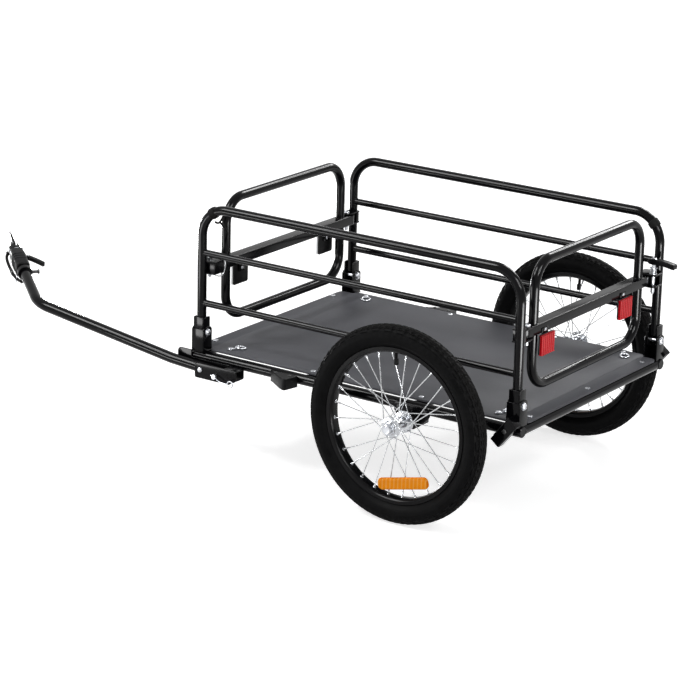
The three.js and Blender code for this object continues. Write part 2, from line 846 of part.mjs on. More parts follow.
// Double-walled rim with hooked edges, and the valve through it
function rim(name) {
  const half = rimWide / 2;
  const floor = half - 2 * rimWall;
  const profile = [
    [rimInner, -floor],
    [beadRadius - rimWall, -half],
    [rimOuter, -half],
    [rimOuter, rimWall - half],
    [beadRadius, rimWall - half],
    [beadRadius, half - rimWall],
    [rimOuter, half - rimWall],
    [rimOuter, half],
    [beadRadius - rimWall, half],
    [rimInner, floor],
  ];
  const out = vector(Math.cos(valveAngle), 0, Math.sin(valveAngle));
  const stem = rod(out.clone().multiplyScalar(rimInner + rimWall / 2),
    out.clone().multiplyScalar(rimInner - valveLong), valveStem / 2, 8);
  return mesh(name, revolved(profile).add(stem), rimPaint);
}

// Hub shell with two flanges, and the laced spokes. Each pair crosses another; neighbours leave the flange on
// opposite faces, so they pass each other where they cross. They end in nipples just inside the rim.
function hubAndSpokes(name) {
  const bore = (axleRod / 2 + gap) / Math.cos(Math.PI / hubSteps);
  const half = flangeThick / 2;
  const profile = [
    [bore, -hubOut],
    [hubRadius, -hubOut],
    [hubRadius, -flangeOut - half],
    [flangeRadius, -flangeOut - half],
    [flangeRadius, half - flangeOut],
    [hubMiddle, half - flangeOut],
    [hubMiddle, flangeIn - half],
    [flangeRadius, flangeIn - half],
    [flangeRadius, flangeIn + half],
    [hubRadius, flangeIn + half],
    [hubRadius, hubIn],
    [bore, hubIn],
  ];
  const perFlange = spokeCount / 2;
  const lead = (spokeCrossing * 2 * Math.PI) / perFlange;
  const tip = rimInner * Math.cos(Math.PI / wheelSteps) - 2 * gap;
  const spokes = [];
  for (let k = 0; k < spokeCount; k++) {
    const side = k % 2 === 0 ? -flangeOut : flangeIn;
    const lean = Math.floor(k / 2) % 2 === 0 ? 1 : -1;
    const rimAngle = (2 * Math.PI * (k + 1 / 2)) / spokeCount;
    const hubAngle = rimAngle + lean * lead;
    const start = vector(spokeCircle * Math.cos(hubAngle), side + lean * (half + spokeWire / 3),
      spokeCircle * Math.sin(hubAngle));
    const end = vector(tip * Math.cos(rimAngle), (lean * spokeWire) / 2, tip * Math.sin(rimAngle));
    spokes.push(spoke(start, end));
  }
  return mesh(name, join(revolved(profile, hubSteps), ...spokes), chromeBright);
}

// Spoke from the flange to the rim with its nipple, turned as one profile about its own line
function spoke(start, end) {
  const along = end.clone().sub(start);
  const length = along.length();
  const profile = [
    [0, 0],
    [spokeWire / 2, 0],
    [spokeWire / 2, length - nippleLong],
    [nipple / 2, length],
    [0, length],
  ];
  const geometry = new THREE.LatheGeometry(profile.map(([radius, place]) => new THREE.Vector2(radius, place)),
    spokeSides);
  geometry.applyQuaternion(new THREE.Quaternion().setFromUnitVectors(vector(0, 1, 0), along.normalize()));
  geometry.translate(start.x, start.y, start.z);
  return solid(geometry);
}

// Reflector clipped to the outer spokes
function spokeReflector(name) {
  const part = (spokeReflectorRadius - spokeCircle) / (rimInner - spokeCircle);
  const spread = spokeReflectorTall / 2 / (rimInner - spokeCircle);
  const back = -flangeOut * (1 - part + spread) - spokeWire - gap;
  const shape = outline([
    [-spokeReflectorLong / 2, -spokeReflectorTall / 2, spokeReflectorRound],
    [spokeReflectorLong / 2, -spokeReflectorTall / 2, spokeReflectorRound],
    [spokeReflectorLong / 2, spokeReflectorTall / 2, spokeReflectorRound],
    [-spokeReflectorLong / 2, spokeReflectorTall / 2, spokeReflectorRound],
  ]);
  const piece = mesh(name, slab(shape, "y", back - spokeReflectorDeep, back), lensAmber);
  const out = vector(Math.cos(spokeReflectorAngle), 0, Math.sin(spokeReflectorAngle));
  piece.position.copy(out.multiplyScalar(spokeReflectorRadius));
  piece.rotation.y = -spokeReflectorAngle - Math.PI / 2;
  return piece;
}

function wheel(name) {
  const group = new THREE.Group();
  group.add(tyre(name + "_tyre"), innerTube(name + "_inner_tube"), rim(name + "_rim"));
  group.add(hubAndSpokes(name + "_hub_and_spokes"), spokeReflector(name + "_spoke_reflector"));
  return group;
}

// Push-button axle through the hub into its receiver, in the wheel's frame
function axle(name) {
  const face = -hubOut - gap;
  const inner = wheelY - receiverIn;
  const shank = rod(vector(0, face - overrun, 0), vector(0, inner, 0), axleRod / 2);
  const head = rod(vector(0, face - axleHeadThick + axleNeck, 0), vector(0, face, 0), axleHead / 2);
  const button = rod(vector(0, face - axleHeadThick, 0), vector(0, face, 0), axleRod / 2);
  return mesh(name, join(shank, head, button), steelZinc);
}

// Block under the side tube with the axle's bore, and its cheek up the tube's outer side
function axleReceiver(name) {
  const top = frameHeight - frameRadius - gap - tyreRadius;
  const low = receiverBottom - tyreRadius;
  const out = receiverOut - wheelY;
  const cheek = frameY + frameRadius + gap - wheelY;
  const block = box(-receiverHalf, receiverHalf, -out, wheelY - receiverIn, low, top);
  const plate = slab(outline([
    [-receiverHalf, low],
    [receiverHalf, low],
    [cheekHalf, top, plateRound],
    [cheekHalf, cheekTop - tyreRadius, plateRound],
    [-cheekHalf, cheekTop - tyreRadius, plateRound],
    [-cheekHalf, top, plateRound],
  ]), "y", -cheek, -cheek - cheekThick);
  const bore = hole(vector(0, -out - overrun, 0), vector(0, wheelY - receiverIn + overrun, 0), axleRod / 2);
  return mesh(name, block.add(plate).subtract(bore), steelBlack);
}

// Wheel side of the bed: the wheel, its axle and receiver, in one group at the wheel's centre
function wheelSide(name) {
  const group = new THREE.Group();
  const side = name === "left" ? -1 : 1;
  group.position.set(axleX, side * wheelY, tyreRadius);
  if (side > 0) group.rotation.z = Math.PI;
  group.add(wheel(name + "_wheel"), axle(name + "_axle"), axleReceiver(name + "_axle_receiver"));
  return group;
}

// Guard block on the side tube ahead of the wheel, its outer edge swept back
function wheelGuard(name, side) {
  const face = side * (frameY + frameRadius + gap);
  const shape = outline([
    [guardFront, face],
    [guardMiddle, side * (guardOut - guardRound), guardRound],
    [guardBack - guardRound, side * guardOut, guardRound],
    [guardBack, face],
  ]);
  return mesh(name, slab(shape, "z", guardBottom, guardTop), steelBlack);
}

// Foot of box section at a rear corner, leaning forward and down beside the side tube
function cornerFoot(name, side) {
  const near = side * (frameY + frameRadius + gap);
  const far = near + side * footDeep;
  const geometry = box(-footLong / 2, footLong / 2, near, far, -footWide / 2, footWide / 2);
  const piece = mesh(name, geometry, steelBlack);
  piece.position.set(footX, 0, footHeight);
  piece.rotation.y = -footLean;
  return piece;
}

// Ring that lies on the deck, and the screwed tab that it turns in
function lashingRing(name, x, y, turn) {
  const group = new THREE.Group();
  const wireRadius = ringWire / 2;
  const radius = (ringAcross - ringWire) / 2;
  const barrel = wireRadius + 2 * gap + ringPlateThick / 2;
  const height = barrel + gap;
  const tabHalf = ringPlateWide / 2;
  const pinY = ringPlateLong / 2;
  const tab = slab(outline([
    [-tabHalf, -tabHalf, tabHalf],
    [tabHalf, -tabHalf, tabHalf],
    [tabHalf / 3, pinY],
    [-tabHalf / 3, pinY],
  ]), "z", gap, gap + ringPlateThick);
  const eye = rod(vector(-tabHalf / 3, pinY, height), vector(tabHalf / 3, pinY, height), barrel);
  const bore = rod(vector(-tabHalf, pinY, height), vector(tabHalf, pinY, height), wireRadius + 2 * gap);
  const screw = rod(vector(0, 0, gap), vector(0, 0, gap + 2 * ringPlateThick), ringScrew / 2);
  group.add(mesh(name + "_tab", join(tab, eye, screw).subtract(bore), steelZinc));
  const torus = new THREE.TorusGeometry(radius, wireRadius, wireSides, ringSteps);
  const ring = mesh(name, solid(torus.translate(0, radius, 0)), steelZinc);
  ring.position.set(0, pinY, height);
  ring.rotation.x = -Math.asin((height - wireRadius - gap) / (2 * radius));
  group.add(ring);
  group.position.set(x, y, deckTop);
  group.rotation.z = turn;
  return group;
}

// Hitch bracket: two upright plates beside the left side tube, joined behind the drawbar by a web
function hitchBracket() {
  const back = [
    [hitchBack - hitchChamferX, hitchBottom],
    [hitchBack, hitchBottom + hitchChamferHeight],
    [hitchBack, hitchTop],
  ];
  const outer = slab(outline([
    [hitchFront, hitchTop],
    [hitchFront, hitchBottom],
    ...back,
  ]), "y", -hitchOuter, hitchWall - hitchOuter);
  const inner = slab(outline([
    [hitchEarBack, hitchTop],
    [hitchEarBack, hitchEarTop],
    [hitchEarFront, hitchEarTop, plateRound],
    [hitchEarFront, hitchEarBottom, plateRound],
    [hitchFront, hitchBottom],
    ...back,
  ]), "y", -hitchInner - hitchWall, -hitchInner);
  const web = box(hitchWebFront, hitchBack, -hitchOuter, -hitchInner, hitchTop - hitchWebThick, hitchTop);
  const reach = hitchOuter + overrun;
  const pivot = hole(vector(drawPivotX, -reach, drawPivotHeight),
    vector(drawPivotX, overrun - hitchInner, drawPivotHeight), drawPivotBolt / 2);
  const lock = hole(vector(lockPinX, -reach, lockPinHeight),
    vector(lockPinX, hitchWall - hitchOuter + overrun, lockPinHeight), lockPinRod / 2);
  return mesh("hitch_bracket", join(outer, inner, web).subtract(pivot).subtract(lock), steelBlack);
}

function drawbarPivotBolt() {
  const out = -hitchOuter - gap;
  const inner = gap - hitchInner;
  const head = (drawPivotBolt * 1.3) / 2;
  const shank = rod(vector(0, out, 0), vector(0, inner, 0), drawPivotBolt / 2);
  const cap = rod(vector(0, out - boltHeadThick, 0), vector(0, out, 0), head);
  const nut = rod(vector(0, inner, 0), vector(0, inner + boltHeadThick * 0.7, 0), head, hexSides);
  const piece = mesh("drawbar_pivot_bolt", join(shank, cap, nut), steelZinc);
  piece.position.set(drawPivotX, 0, drawPivotHeight);
  return piece;
}

// Lock pin through the outer plate into the drawbar's near wall, with the wire clip on its head
function lockPin() {
  const wallFace = drawY - drawTube / 2;
  const out = -hitchOuter - gap;
  const shank = rod(vector(0, out - lockPinHeadLong / 2, 0), vector(0, wallFace + lockPinDepth, 0), lockPinRod / 2);
  const head = rod(vector(0, out - lockPinHeadLong, 0), vector(0, out, 0), lockPinHead / 2);
  const piece = mesh("drawbar_lock_pin", join(shank, head, lockPinClip(out - lockPinHeadLong)), steelZinc);
  piece.position.set(lockPinX, 0, lockPinHeight);
  return piece;
}

// Wire clip that hangs back from the lock pin's head and ends in a ring
function lockPinClip(face) {
  const y = face - clipWire / 2 + weldBite;
  const ring = clipRing / 2;
  const eyeX = lockPinHead + 2 * clipRing;
  const points = [
    vector(-lockPinHead / 2, y, ring / 2),
    vector(lockPinHead / 2, y, 0),
    vector(lockPinHead + ring, y, -ring),
    vector(eyeX, y, -ring),
  ];
  const torus = new THREE.TorusGeometry(ring, clipWire / 2, wireSides, ringSteps);
  torus.rotateX(Math.PI / 2).translate(eyeX + ring, y, -ring);
  return wire(points, clipWire / 2, clipSteps).add(solid(torus));
}

const elbow = vector(drawElbowX, drawY, drawElbowHeight);
const couplerEnd = vector(couplerEndX, couplerEndY, couplerEndHeight);
const couplerAlong = couplerEnd.clone().sub(elbow);
const plateHoleX = couplerAlong.length();
couplerAlong.normalize();

// Drawbar tube with its two bends, bored for the pivot bolt and the lock pin
function drawbar() {
  const points = [
    vector(drawTailX, drawY, drawTailHeight),
    vector(drawKneeX, drawY, drawKneeHeight),
    elbow,
    elbow.clone().addScaledVector(couplerAlong, sleeveBoreEnd - gap),
  ];
  const tube = new BentLine(points, [drawKneeBend, drawElbowBend]).tube(drawTube / 2);
  const low = drawY - drawTube;
  const pivot = hole(vector(drawPivotX, low, drawPivotHeight), vector(drawPivotX, drawY + drawTube, drawPivotHeight),
    drawPivotBolt / 2);
  const lock = hole(vector(lockPinX, low, lockPinHeight),
    vector(lockPinX, drawY - drawTube / 2 + lockPinDepth + overrun, lockPinHeight), lockPinRod / 2);
  return mesh("drawbar", tube.subtract(pivot).subtract(lock), steelBlack);
}

// Sleeve that turns on the drawbar's end, with the plate's fork, the lever's boss and the strap's peg
function couplerSleeve() {
  const barrel = rod(vector(sleeveBack, 0, 0), vector(sleeveFront, 0, 0), sleeveRadius, tubeSides);
  const collar = rod(vector(sleeveBack, 0, 0), vector(sleeveBack + sleeveCollarLong, 0, 0), sleeveCollarRadius,
    tubeSides);
  const bore = hole(vector(sleeveBack - overrun, 0, 0), vector(sleeveBoreEnd, 0, 0), drawTube / 2, tubeSides);
  const slotHalf = plateThick / 2 + gap;
  const slot = box(platePivot - plateTongue / 2 - gap, sleeveFront + overrun, -slotHalf, slotHalf,
    -2 * sleeveRadius, 2 * sleeveRadius);
  const pin = rod(vector(platePivot, -sleeveRadius, 0), vector(platePivot, sleeveRadius, 0), platePivotPin / 2);
  const wallMiddle = (sleeveRadius + drawTube / 2 + gap) / 2;
  const camY = -sleeveRadius - camBossLong;
  const boss = box(camLeverX - camBossRadius / 2, camLeverX + camBossRadius / 2, camY, -wallMiddle, -camPin / 2,
    camPin / 2);
  const camAxle = rod(vector(camLeverX, camY + camPin / 2, -camLeverTall / 2),
    vector(camLeverX, camY + camPin / 2, camLeverTall / 2), camPin / 2);
  const peg = rod(vector(pegX, -wallMiddle, 0), vector(pegX, -sleeveRadius - pegLong, 0), pegRadius);
  const body = join(barrel, collar).subtract(bore).subtract(slot);
  return mesh("coupler_sleeve", join(body, pin, boss, camAxle, peg), steelBlack);
}

// Quick-release lever on the sleeve, forked round its boss
function couplerLever() {
  const half = camLeverThick / 2;
  const shape = outline([
    [-half, -half, half],
    [camLeverLong * 0.6, -half],
    [camLeverLong, -half - half / 2, half / 2],
    [camLeverLong, half - half / 2, half / 2],
    [camLeverLong * 0.6, half],
    [-half, half, half],
  ]);
  const bar = slab(shape, "z", -camLeverTall / 2, camLeverTall / 2);
  const slot = camPin / 2 + gap;
  const mouth = box(-camBossRadius, camBossRadius, -camBossRadius, camBossRadius, -slot, slot);
  const bore = hole(vector(0, 0, -camLeverTall), vector(0, 0, camLeverTall), camPin / 2);
  const piece = mesh("coupler_lever", bar.subtract(mouth).subtract(bore), plasticBlack);
  piece.position.set(camLeverX, -sleeveRadius - camBossLong + camPin / 2, 0);
  piece.rotation.z = Math.PI + camLeverSpread;
  return piece;
}

// Flat plate with a round eye that bolts to the bicycle, its tongue in the sleeve's fork
function hitchPlate() {
  const tongue = plateTongue / 2;
  const wide = plateWide / 2;
  const end = plateHoleX + wide;
  const back = platePivot - tongue;
  const shape = outline([
    [back, -tongue, tongue],
    [plateNeck - wide / 2, -tongue],
    [plateNeck, -wide],
    [end, -wide, wide],
    [end, wide, wide],
    [plateNeck, wide],
    [plateNeck - wide / 2, tongue],
    [back, tongue, tongue],
  ]);
  const half = plateThick / 2;
  const eye = rod(vector(plateHoleX, -plateThick, 0), vector(plateHoleX, plateThick, 0), plateHole / 2, 20);
  const pivot = hole(vector(platePivot, -plateThick, 0), vector(platePivot, plateThick, 0), platePivotPin / 2);
  return mesh("hitch_plate", slab(shape, "y", -half, half).subtract(eye).subtract(pivot), steelBlack);
}

// Safety strap from the sleeve's side back to the drawbar
function safetyStrap() {
  const out = sleeveRadius + strapRadius + gap;
  const points = [
    vector(sleeveFront - strapRadius, out * 0.85, -out * 0.55),
    vector(sleeveFront - 4 * strapRadius, out * 1.1, -out * 0.8),
    vector(sleeveBoreEnd - 2 * out, out * 1.15, -out),
    vector(sleeveBack + out / 2, out, -out * 0.8),
    vector(sleeveBack - out, out * 0.7, -out * 0.5),
  ];
  return mesh("safety_strap", wire(points, strapRadius, strapSteps, strapSides), rubberBlack);
}

function coupler() {
  const group = new THREE.Group();
  const up = vector(0, 0, 1).addScaledVector(couplerAlong, -couplerAlong.z).normalize();
  const side = up.clone().cross(couplerAlong);
  group.position.copy(elbow);
  group.quaternion.setFromRotationMatrix(new THREE.Matrix4().makeBasis(couplerAlong, side, up));
  group.add(couplerSleeve(), couplerLever(), hitchPlate(), safetyStrap());
  return group;
}

// Band round a hoop's upper bend, centred at an angle up the bend
function bendBand(end, side, angle) {
  const x = end * halfX;
  const y = side * halfY;
  const middle = vector(x - end * hoopBend, y, hoopTop - hoopBend);
  middle.add(vector(end * hoopBend * Math.cos(angle), 0, hoopBend * Math.sin(angle)));
  const along = vector(-end * Math.sin(angle), 0, Math.cos(angle));
  const from = middle.clone().addScaledVector(along, -tieLong / 2);
  const to = middle.clone().addScaledVector(along, tieLong / 2);
  const corners = [vector(x, y, postFoot), vector(x, y, hoopTop), vector(0, y, hoopTop)];
  const cut = new BentLine(corners, [hoopBend]).tube(postRadius + gap);
  return rod(from, to, postRadius + tieWall, tubeSides).subtract(cut);
}

function rearTie() {
  return mesh("rear_right_tie", bendBand(1, 1, rearTieAngle), rubberBlack);
}

// The front tie has a loop and a tail on the bed's side
function frontTie() {
  const x = -halfX + tieLoopX;
  const top = hoopTop - tieLoopDrop;
  const radius = tieLoopWire / 2;
  const y = -halfY + postRadius + gap + radius;
  const loop = wire([
    vector(x, y, top),
    vector(x, y + tieLoopWide / 2, top + tieLoopRise),
    vector(x, y + tieLoopWide, top - tieLoopRise / 2),
    vector(x, y + tieLoopWide / 2, top - tieLoopTall),
    vector(x, y, top - tieLoopTall + tieLoopRise / 2),
  ], radius, cordSteps);
  const tail = wire([
    vector(x, y + tieLoopWide / 2, top - tieLoopTall),
    vector(x + radius, y + tieLoopWide / 2 + tieTailOut / 2, top - tieLoopTall - tieTailDrop / 2 + radius),
    vector(x + radius, y + tieLoopWide / 2 + tieTailOut, top - tieLoopTall - tieTailDrop),
  ], radius, tailSteps);
  return mesh("front_left_tie", join(bendBand(-1, -1, frontTieAngle), loop, tail), rubberBlack);
}

const bed = new THREE.Group();
bed.add(baseFrame(), deckBoard());
for (const [name, side] of [["left", -1], ["right", 1]]) {
  bed.add(sidePanel(name + "_side_panel", side));
  bed.add(wheelSide(name));
  bed.add(wheelGuard(name + "_wheel_guard", side));
  bed.add(cornerFoot(name + "_rear_foot", side));
  for (const [end, x] of [["front", -1], ["rear", 1]]) {
    bed.add(pivotBoltPiece(end + "_" + name + "_pivot_bolt", x * halfX, side));
    const turn = side < 0 ? -ringLean : Math.PI + ringLean;
    bed.add(lashingRing(end + "_" + name + "_lashing_ring", x * ringX, side * ringY, turn));
  }
}

const rearGate = gate("rear", lensRed, [rearReflectorNearY, rearReflectorFarY], rearReflectorTall);
const frontGate = gate("front", lensClear, [frontReflectorNearY, frontReflectorFarY], frontReflectorTall);
frontGate.rotation.z = Math.PI;
bed.add(rearGate, frontGate);

const rearLatch = new THREE.Group();
rearLatch.position.set(keeperPinX, gatePinReach, 0);
const lever = latchLever();
lever.position.set(0, 0, latchEyeHeight);
rearLatch.add(latchPin(), latchSpring(), lever);
const frontLatch = new THREE.Group();
frontLatch.position.set(-keeperPinX, -gatePinReach, 0);
const bow = frontLatchBow();
bow.position.set(0, 0, lockHeadHeight);
frontLatch.add(frontLatchPin(), bow);
bed.add(rearLatch, frontLatch);

bed.add(hitchBracket(), drawbarPivotBolt(), lockPin(), drawbar(), coupler());
bed.add(frontTie(), rearTie());

// The bed stands so that the outline's middle, from the hitch plate's nose to the latch lever's grip, is at zero
const nose = couplerEndX + (couplerAlong.x * plateWide) / 2;
const grip = keeperPinX + leverLong;
bed.position.x = -(nose + grip) / 2;

const trailer = new THREE.Group();
trailer.add(bed);
export default trailer;
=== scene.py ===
# %% [markdown]
# # A bicycle cargo trailer
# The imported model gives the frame: bodies that move and solids of true size. This lesson dresses it. Each
# visible piece is a surface worked out with numpy from the sizes of the real one, and each surface gets a
# finish built from shader nodes. Sizes are in millimetres, measured from the middle of the bed, with the
# ground at height 0.

# %% Frame
import json
import math

import bmesh
import bpy
import numpy as np
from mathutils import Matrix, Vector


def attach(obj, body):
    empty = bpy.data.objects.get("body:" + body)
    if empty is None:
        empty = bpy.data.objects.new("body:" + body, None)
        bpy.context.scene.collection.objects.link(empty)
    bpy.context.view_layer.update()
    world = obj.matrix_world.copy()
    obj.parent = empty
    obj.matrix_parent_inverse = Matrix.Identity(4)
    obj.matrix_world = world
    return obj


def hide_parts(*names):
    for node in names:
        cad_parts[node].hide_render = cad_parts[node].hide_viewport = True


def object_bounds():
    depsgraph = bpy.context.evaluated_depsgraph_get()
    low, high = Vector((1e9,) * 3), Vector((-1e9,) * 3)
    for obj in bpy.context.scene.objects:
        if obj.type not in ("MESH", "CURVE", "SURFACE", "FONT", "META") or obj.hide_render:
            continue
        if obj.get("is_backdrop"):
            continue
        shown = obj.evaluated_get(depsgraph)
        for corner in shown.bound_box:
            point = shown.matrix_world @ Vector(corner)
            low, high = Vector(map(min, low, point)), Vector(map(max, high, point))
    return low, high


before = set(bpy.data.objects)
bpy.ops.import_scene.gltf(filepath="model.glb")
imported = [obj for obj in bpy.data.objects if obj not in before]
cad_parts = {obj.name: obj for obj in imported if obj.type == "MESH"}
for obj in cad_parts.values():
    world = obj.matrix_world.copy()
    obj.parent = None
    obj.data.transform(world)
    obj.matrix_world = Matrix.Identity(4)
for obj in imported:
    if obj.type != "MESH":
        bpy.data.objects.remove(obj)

cad_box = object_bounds()
MILLIMETRE = 0.001
BED_SHIFT = 0.301549  # from the middle of the bed to the middle of the whole outline, in metres
X, Y, Z = np.eye(3)
ORIGIN = (0, 0, 0)
HANDS = (("left", -1), ("right", 1))  # with the sign of y
ENDS = (("front", -1), ("rear", 1))  # with the sign of x
print("solids in the frame:", len(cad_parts))

# %% [markdown]
# ## Camera
# The camera stands far off behind the left rear corner with a long lens, so parallel tubes stay nearly
# parallel. Its angles, distance and lens were fitted to the corners of the bed and the wheels.

# %% Camera
AZIMUTH, ELEVATION, ROLL = math.radians(34.518), math.radians(17.315), math.radians(1.371)
DISTANCE = 5.7422
LENS, SENSOR = 149.76, 36
AIM = np.array([-132.83, -124.0, 263.77]) * MILLIMETRE + [BED_SHIFT, 0, 0]


def camera_axes(azimuth, elevation, roll):
    """Right, up and forward: forward looks down at the aim, and roll turns right and up about it."""
    forward = np.array([-math.sin(azimuth) * math.cos(elevation), math.cos(azimuth) * math.cos(elevation),
                        -math.sin(elevation)])
    level = np.array([math.cos(azimuth), math.sin(azimuth), 0])
    upright = np.cross(level, forward)
    right = level * math.cos(roll) + upright * math.sin(roll)
    return right, np.cross(right, forward), forward


right, up, forward = camera_axes(AZIMUTH, ELEVATION, ROLL)
camera_data = bpy.data.cameras.new("camera")
camera_data.lens, camera_data.sensor_width = LENS, SENSOR
camera = bpy.data.objects.new("camera", camera_data)
camera_matrix = np.eye(4)
camera_matrix[:3] = np.stack([right, up, -forward, AIM - forward * DISTANCE], 1)
camera.matrix_world = camera_matrix.T.tolist()
bpy.context.scene.collection.objects.link(camera)
bpy.context.scene.camera = camera
print("camera", camera_matrix[:3, 3].round(3))

# %% [markdown]
# ## Paths and surfaces
# Nearly everything on the trailer is bent tube, turned metal or cut plate. So three ways of making a
# surface carry the whole model: a section swept along a path, a profile turned about an axis, and an
# outline given thickness with its edges rounded. Each is a grid of points computed at once, and the faces
# follow from the grid.


# %% Paths
def around_once(steps):
    """Even angles round a full turn."""
    return np.linspace(0, 2 * math.pi, steps, endpoint=False)


def circle(centre, radius, first, second, steps=48):
    """The points centre + radius * (cos a * first + sin a * second)."""
    a = around_once(steps)[:, None]
    return np.asarray(centre, float) + radius * (np.cos(a) * first + np.sin(a) * second)


def arc_bends(corners, radii, steps=10):
    """A path through corners with a circular bend at each inner one. A bend of radius r that turns by angle a
    starts r * tan(a / 2) before its corner, and its points are
    centre + r * (cos t * outward + sin t * heading)."""
    corners = np.asarray(corners, float)
    path = [corners[:1]]
    for before, here, after, radius in zip(corners[:-2], corners[1:-1], corners[2:], radii):
        heading = (here - before) / np.linalg.norm(here - before)
        leaving = (after - here) / np.linalg.norm(after - here)
        turn = math.acos(np.clip(heading @ leaving, -1, 1))
        start = here - heading * radius * math.tan(turn / 2)
        inward = leaving - heading * (leaving @ heading)
        inward /= np.linalg.norm(inward)
        t = np.linspace(0, turn, steps + 1)[:, None]
        path.append(start + radius * inward - radius * (np.cos(t) * inward - np.sin(t) * heading))
    path.append(corners[-1:])
    return np.concatenate(path)


def smooth_path(points, count):
    """A centripetal curve through points: cubic pieces whose slopes are those of the parabola through
    neighbours, with the square root of each gap as its step."""
    points = np.asarray(points, float)
    knots = np.concatenate([[0], np.cumsum(np.sqrt(np.linalg.norm(np.diff(points, axis=0), axis=1)))])
    slopes = np.gradient(points, knots, axis=0, edge_order=2)
    t = np.linspace(0, knots[-1], count)
    i = np.clip(np.searchsorted(knots, t, side="right") - 1, 0, len(points) - 2)
    span = (knots[i + 1] - knots[i])[:, None]
    s = ((t - knots[i])[:, None]) / span
    a = (1 + 2 * s) * (1 - s) ** 2 * points[i] + s**2 * (3 - 2 * s) * points[i + 1]
    return a + span * (s * (1 - s) ** 2 * slopes[i] + s**2 * (s - 1) * slopes[i + 1])


# %% Outlines
SAME_PLACE = 1e-4  # two corners that are nearer than this are one


def rounded(corners, steps=5):
    """An outline of (a, b, r) corners. Each is an arc tangent to both sides at distance r, drawn as the conic
    ((1-t)^2 P + 2 w t (1-t) C + t^2 Q) / (sum of weights), with w the sine of half the corner's angle."""
    corners = [tuple(corner) + (0,) * (3 - len(corner)) for corner in corners]
    places = np.array([corner[:2] for corner in corners], float)
    outline = []
    for i, (here, (*_, r)) in enumerate(zip(places, corners)):
        if r == 0:
            outline.append(here[None])
            continue
        back, ahead = places[i - 1] - here, places[(i + 1) % len(corners)] - here
        back, ahead = back / np.linalg.norm(back), ahead / np.linalg.norm(ahead)
        weight = math.sin(math.acos(np.clip(back @ ahead, -1, 1)) / 2)
        t = np.linspace(0, 1, steps + 1)[:, None]
        total = (1 - t) ** 2 + 2 * weight * t * (1 - t) + t**2
        outline.append(here + r * ((1 - t) ** 2 * back + t**2 * ahead) / total)
    outline = np.concatenate(outline)
    outline = outline[np.linalg.norm(outline - np.roll(outline, 1, axis=0), axis=1) > SAME_PLACE]
    area = outline[:, 0] @ np.roll(outline[:, 1], -1) - outline[:, 1] @ np.roll(outline[:, 0], -1)
    return outline if area > 0 else outline[::-1]


def rectangle(a0, a1, b0, b1, r, steps=5):
    """A rectangle with four equal round corners."""
    return rounded([(a0, b0, r), (a1, b0, r), (a1, b1, r), (a0, b1, r)], steps)


def mirrored(half, middle=()):
    """A profile of (radius, place) pairs, then the middle pairs, then the same profile on 0's other side."""
    return half + list(middle) + [(radius, -place) for radius, place in half[::-1]]


def collar(hole, radius, low, high, chamfer):
    """The profile of a ring whose two outer edges are turned off."""
    return [(hole, low), (radius - chamfer, low), (radius, low + chamfer), (radius, high - chamfer),
            (radius - chamfer, high), (hole, high)]


# %% Surfaces
MITRE_LIMIT = 0.35  # keeps a sharp corner's mean normal from growing without end
THICKEST_EDGE = 0.49  # of a plate's thickness


def ring_faces(rings, loop=False):
    """Quad (i, j) joins ring i to ring i + 1 between columns j and j + 1; a flat face closes each end."""
    rows, columns = rings.shape[:2]
    i = np.arange(rows if loop else rows - 1)[:, None]
    j = np.arange(columns)[None, :]
    k, m = (i + 1) % rows, (j + 1) % columns
    quads = np.broadcast_arrays(i * columns + j, k * columns + j, k * columns + m, i * columns + m)
    faces = np.stack(quads, -1).reshape(-1, 4).tolist()
    if not loop:
        faces += [list(range(columns))[::-1], list(range((rows - 1) * columns, rows * columns))]
    return faces


def sweep(path, radius, around=Y, sides=24, loop=False):
    """A circle carried along path: each point is path + r * (cos a * side + sin a * lift), where side is the
    path's heading crossed with around, and lift completes the frame. The radius can change on the way."""
    path = np.asarray(path, float)
    ahead = np.roll(path, -1, axis=0) - np.roll(path, 1, axis=0) if loop else np.gradient(path, axis=0)
    ahead /= np.linalg.norm(ahead, axis=1, keepdims=True)
    side = np.cross(ahead, around)
    side /= np.linalg.norm(side, axis=1, keepdims=True)
    lift = np.cross(side, ahead)
    a = around_once(sides)[None, :, None]
    scale = np.broadcast_to(np.asarray(radius, float), (len(path),))[:, None, None]
    rings = path[:, None] + scale * (np.cos(a) * side[:, None] + np.sin(a) * lift[:, None])
    return rings.reshape(-1, 3), ring_faces(rings, loop)


def turn(profile, centre=ORIGIN, axis=Z, steps=32, loop=False):
    """A profile of (radius, place along the axis) turned about the axis through centre."""
    profile = np.asarray(profile, float)
    axis = np.asarray(axis, float) / np.linalg.norm(axis)
    first = np.cross(axis, X if abs(axis[0]) < 0.9 else Y)
    first /= np.linalg.norm(first)
    second = np.cross(axis, first)
    a = around_once(steps)[None, :, None]
    spoke = np.cos(a) * first + np.sin(a) * second
    rings = np.asarray(centre, float) + profile[:, :1, None] * spoke + profile[:, 1:, None] * axis
    return rings.reshape(-1, 3), ring_faces(rings, loop)


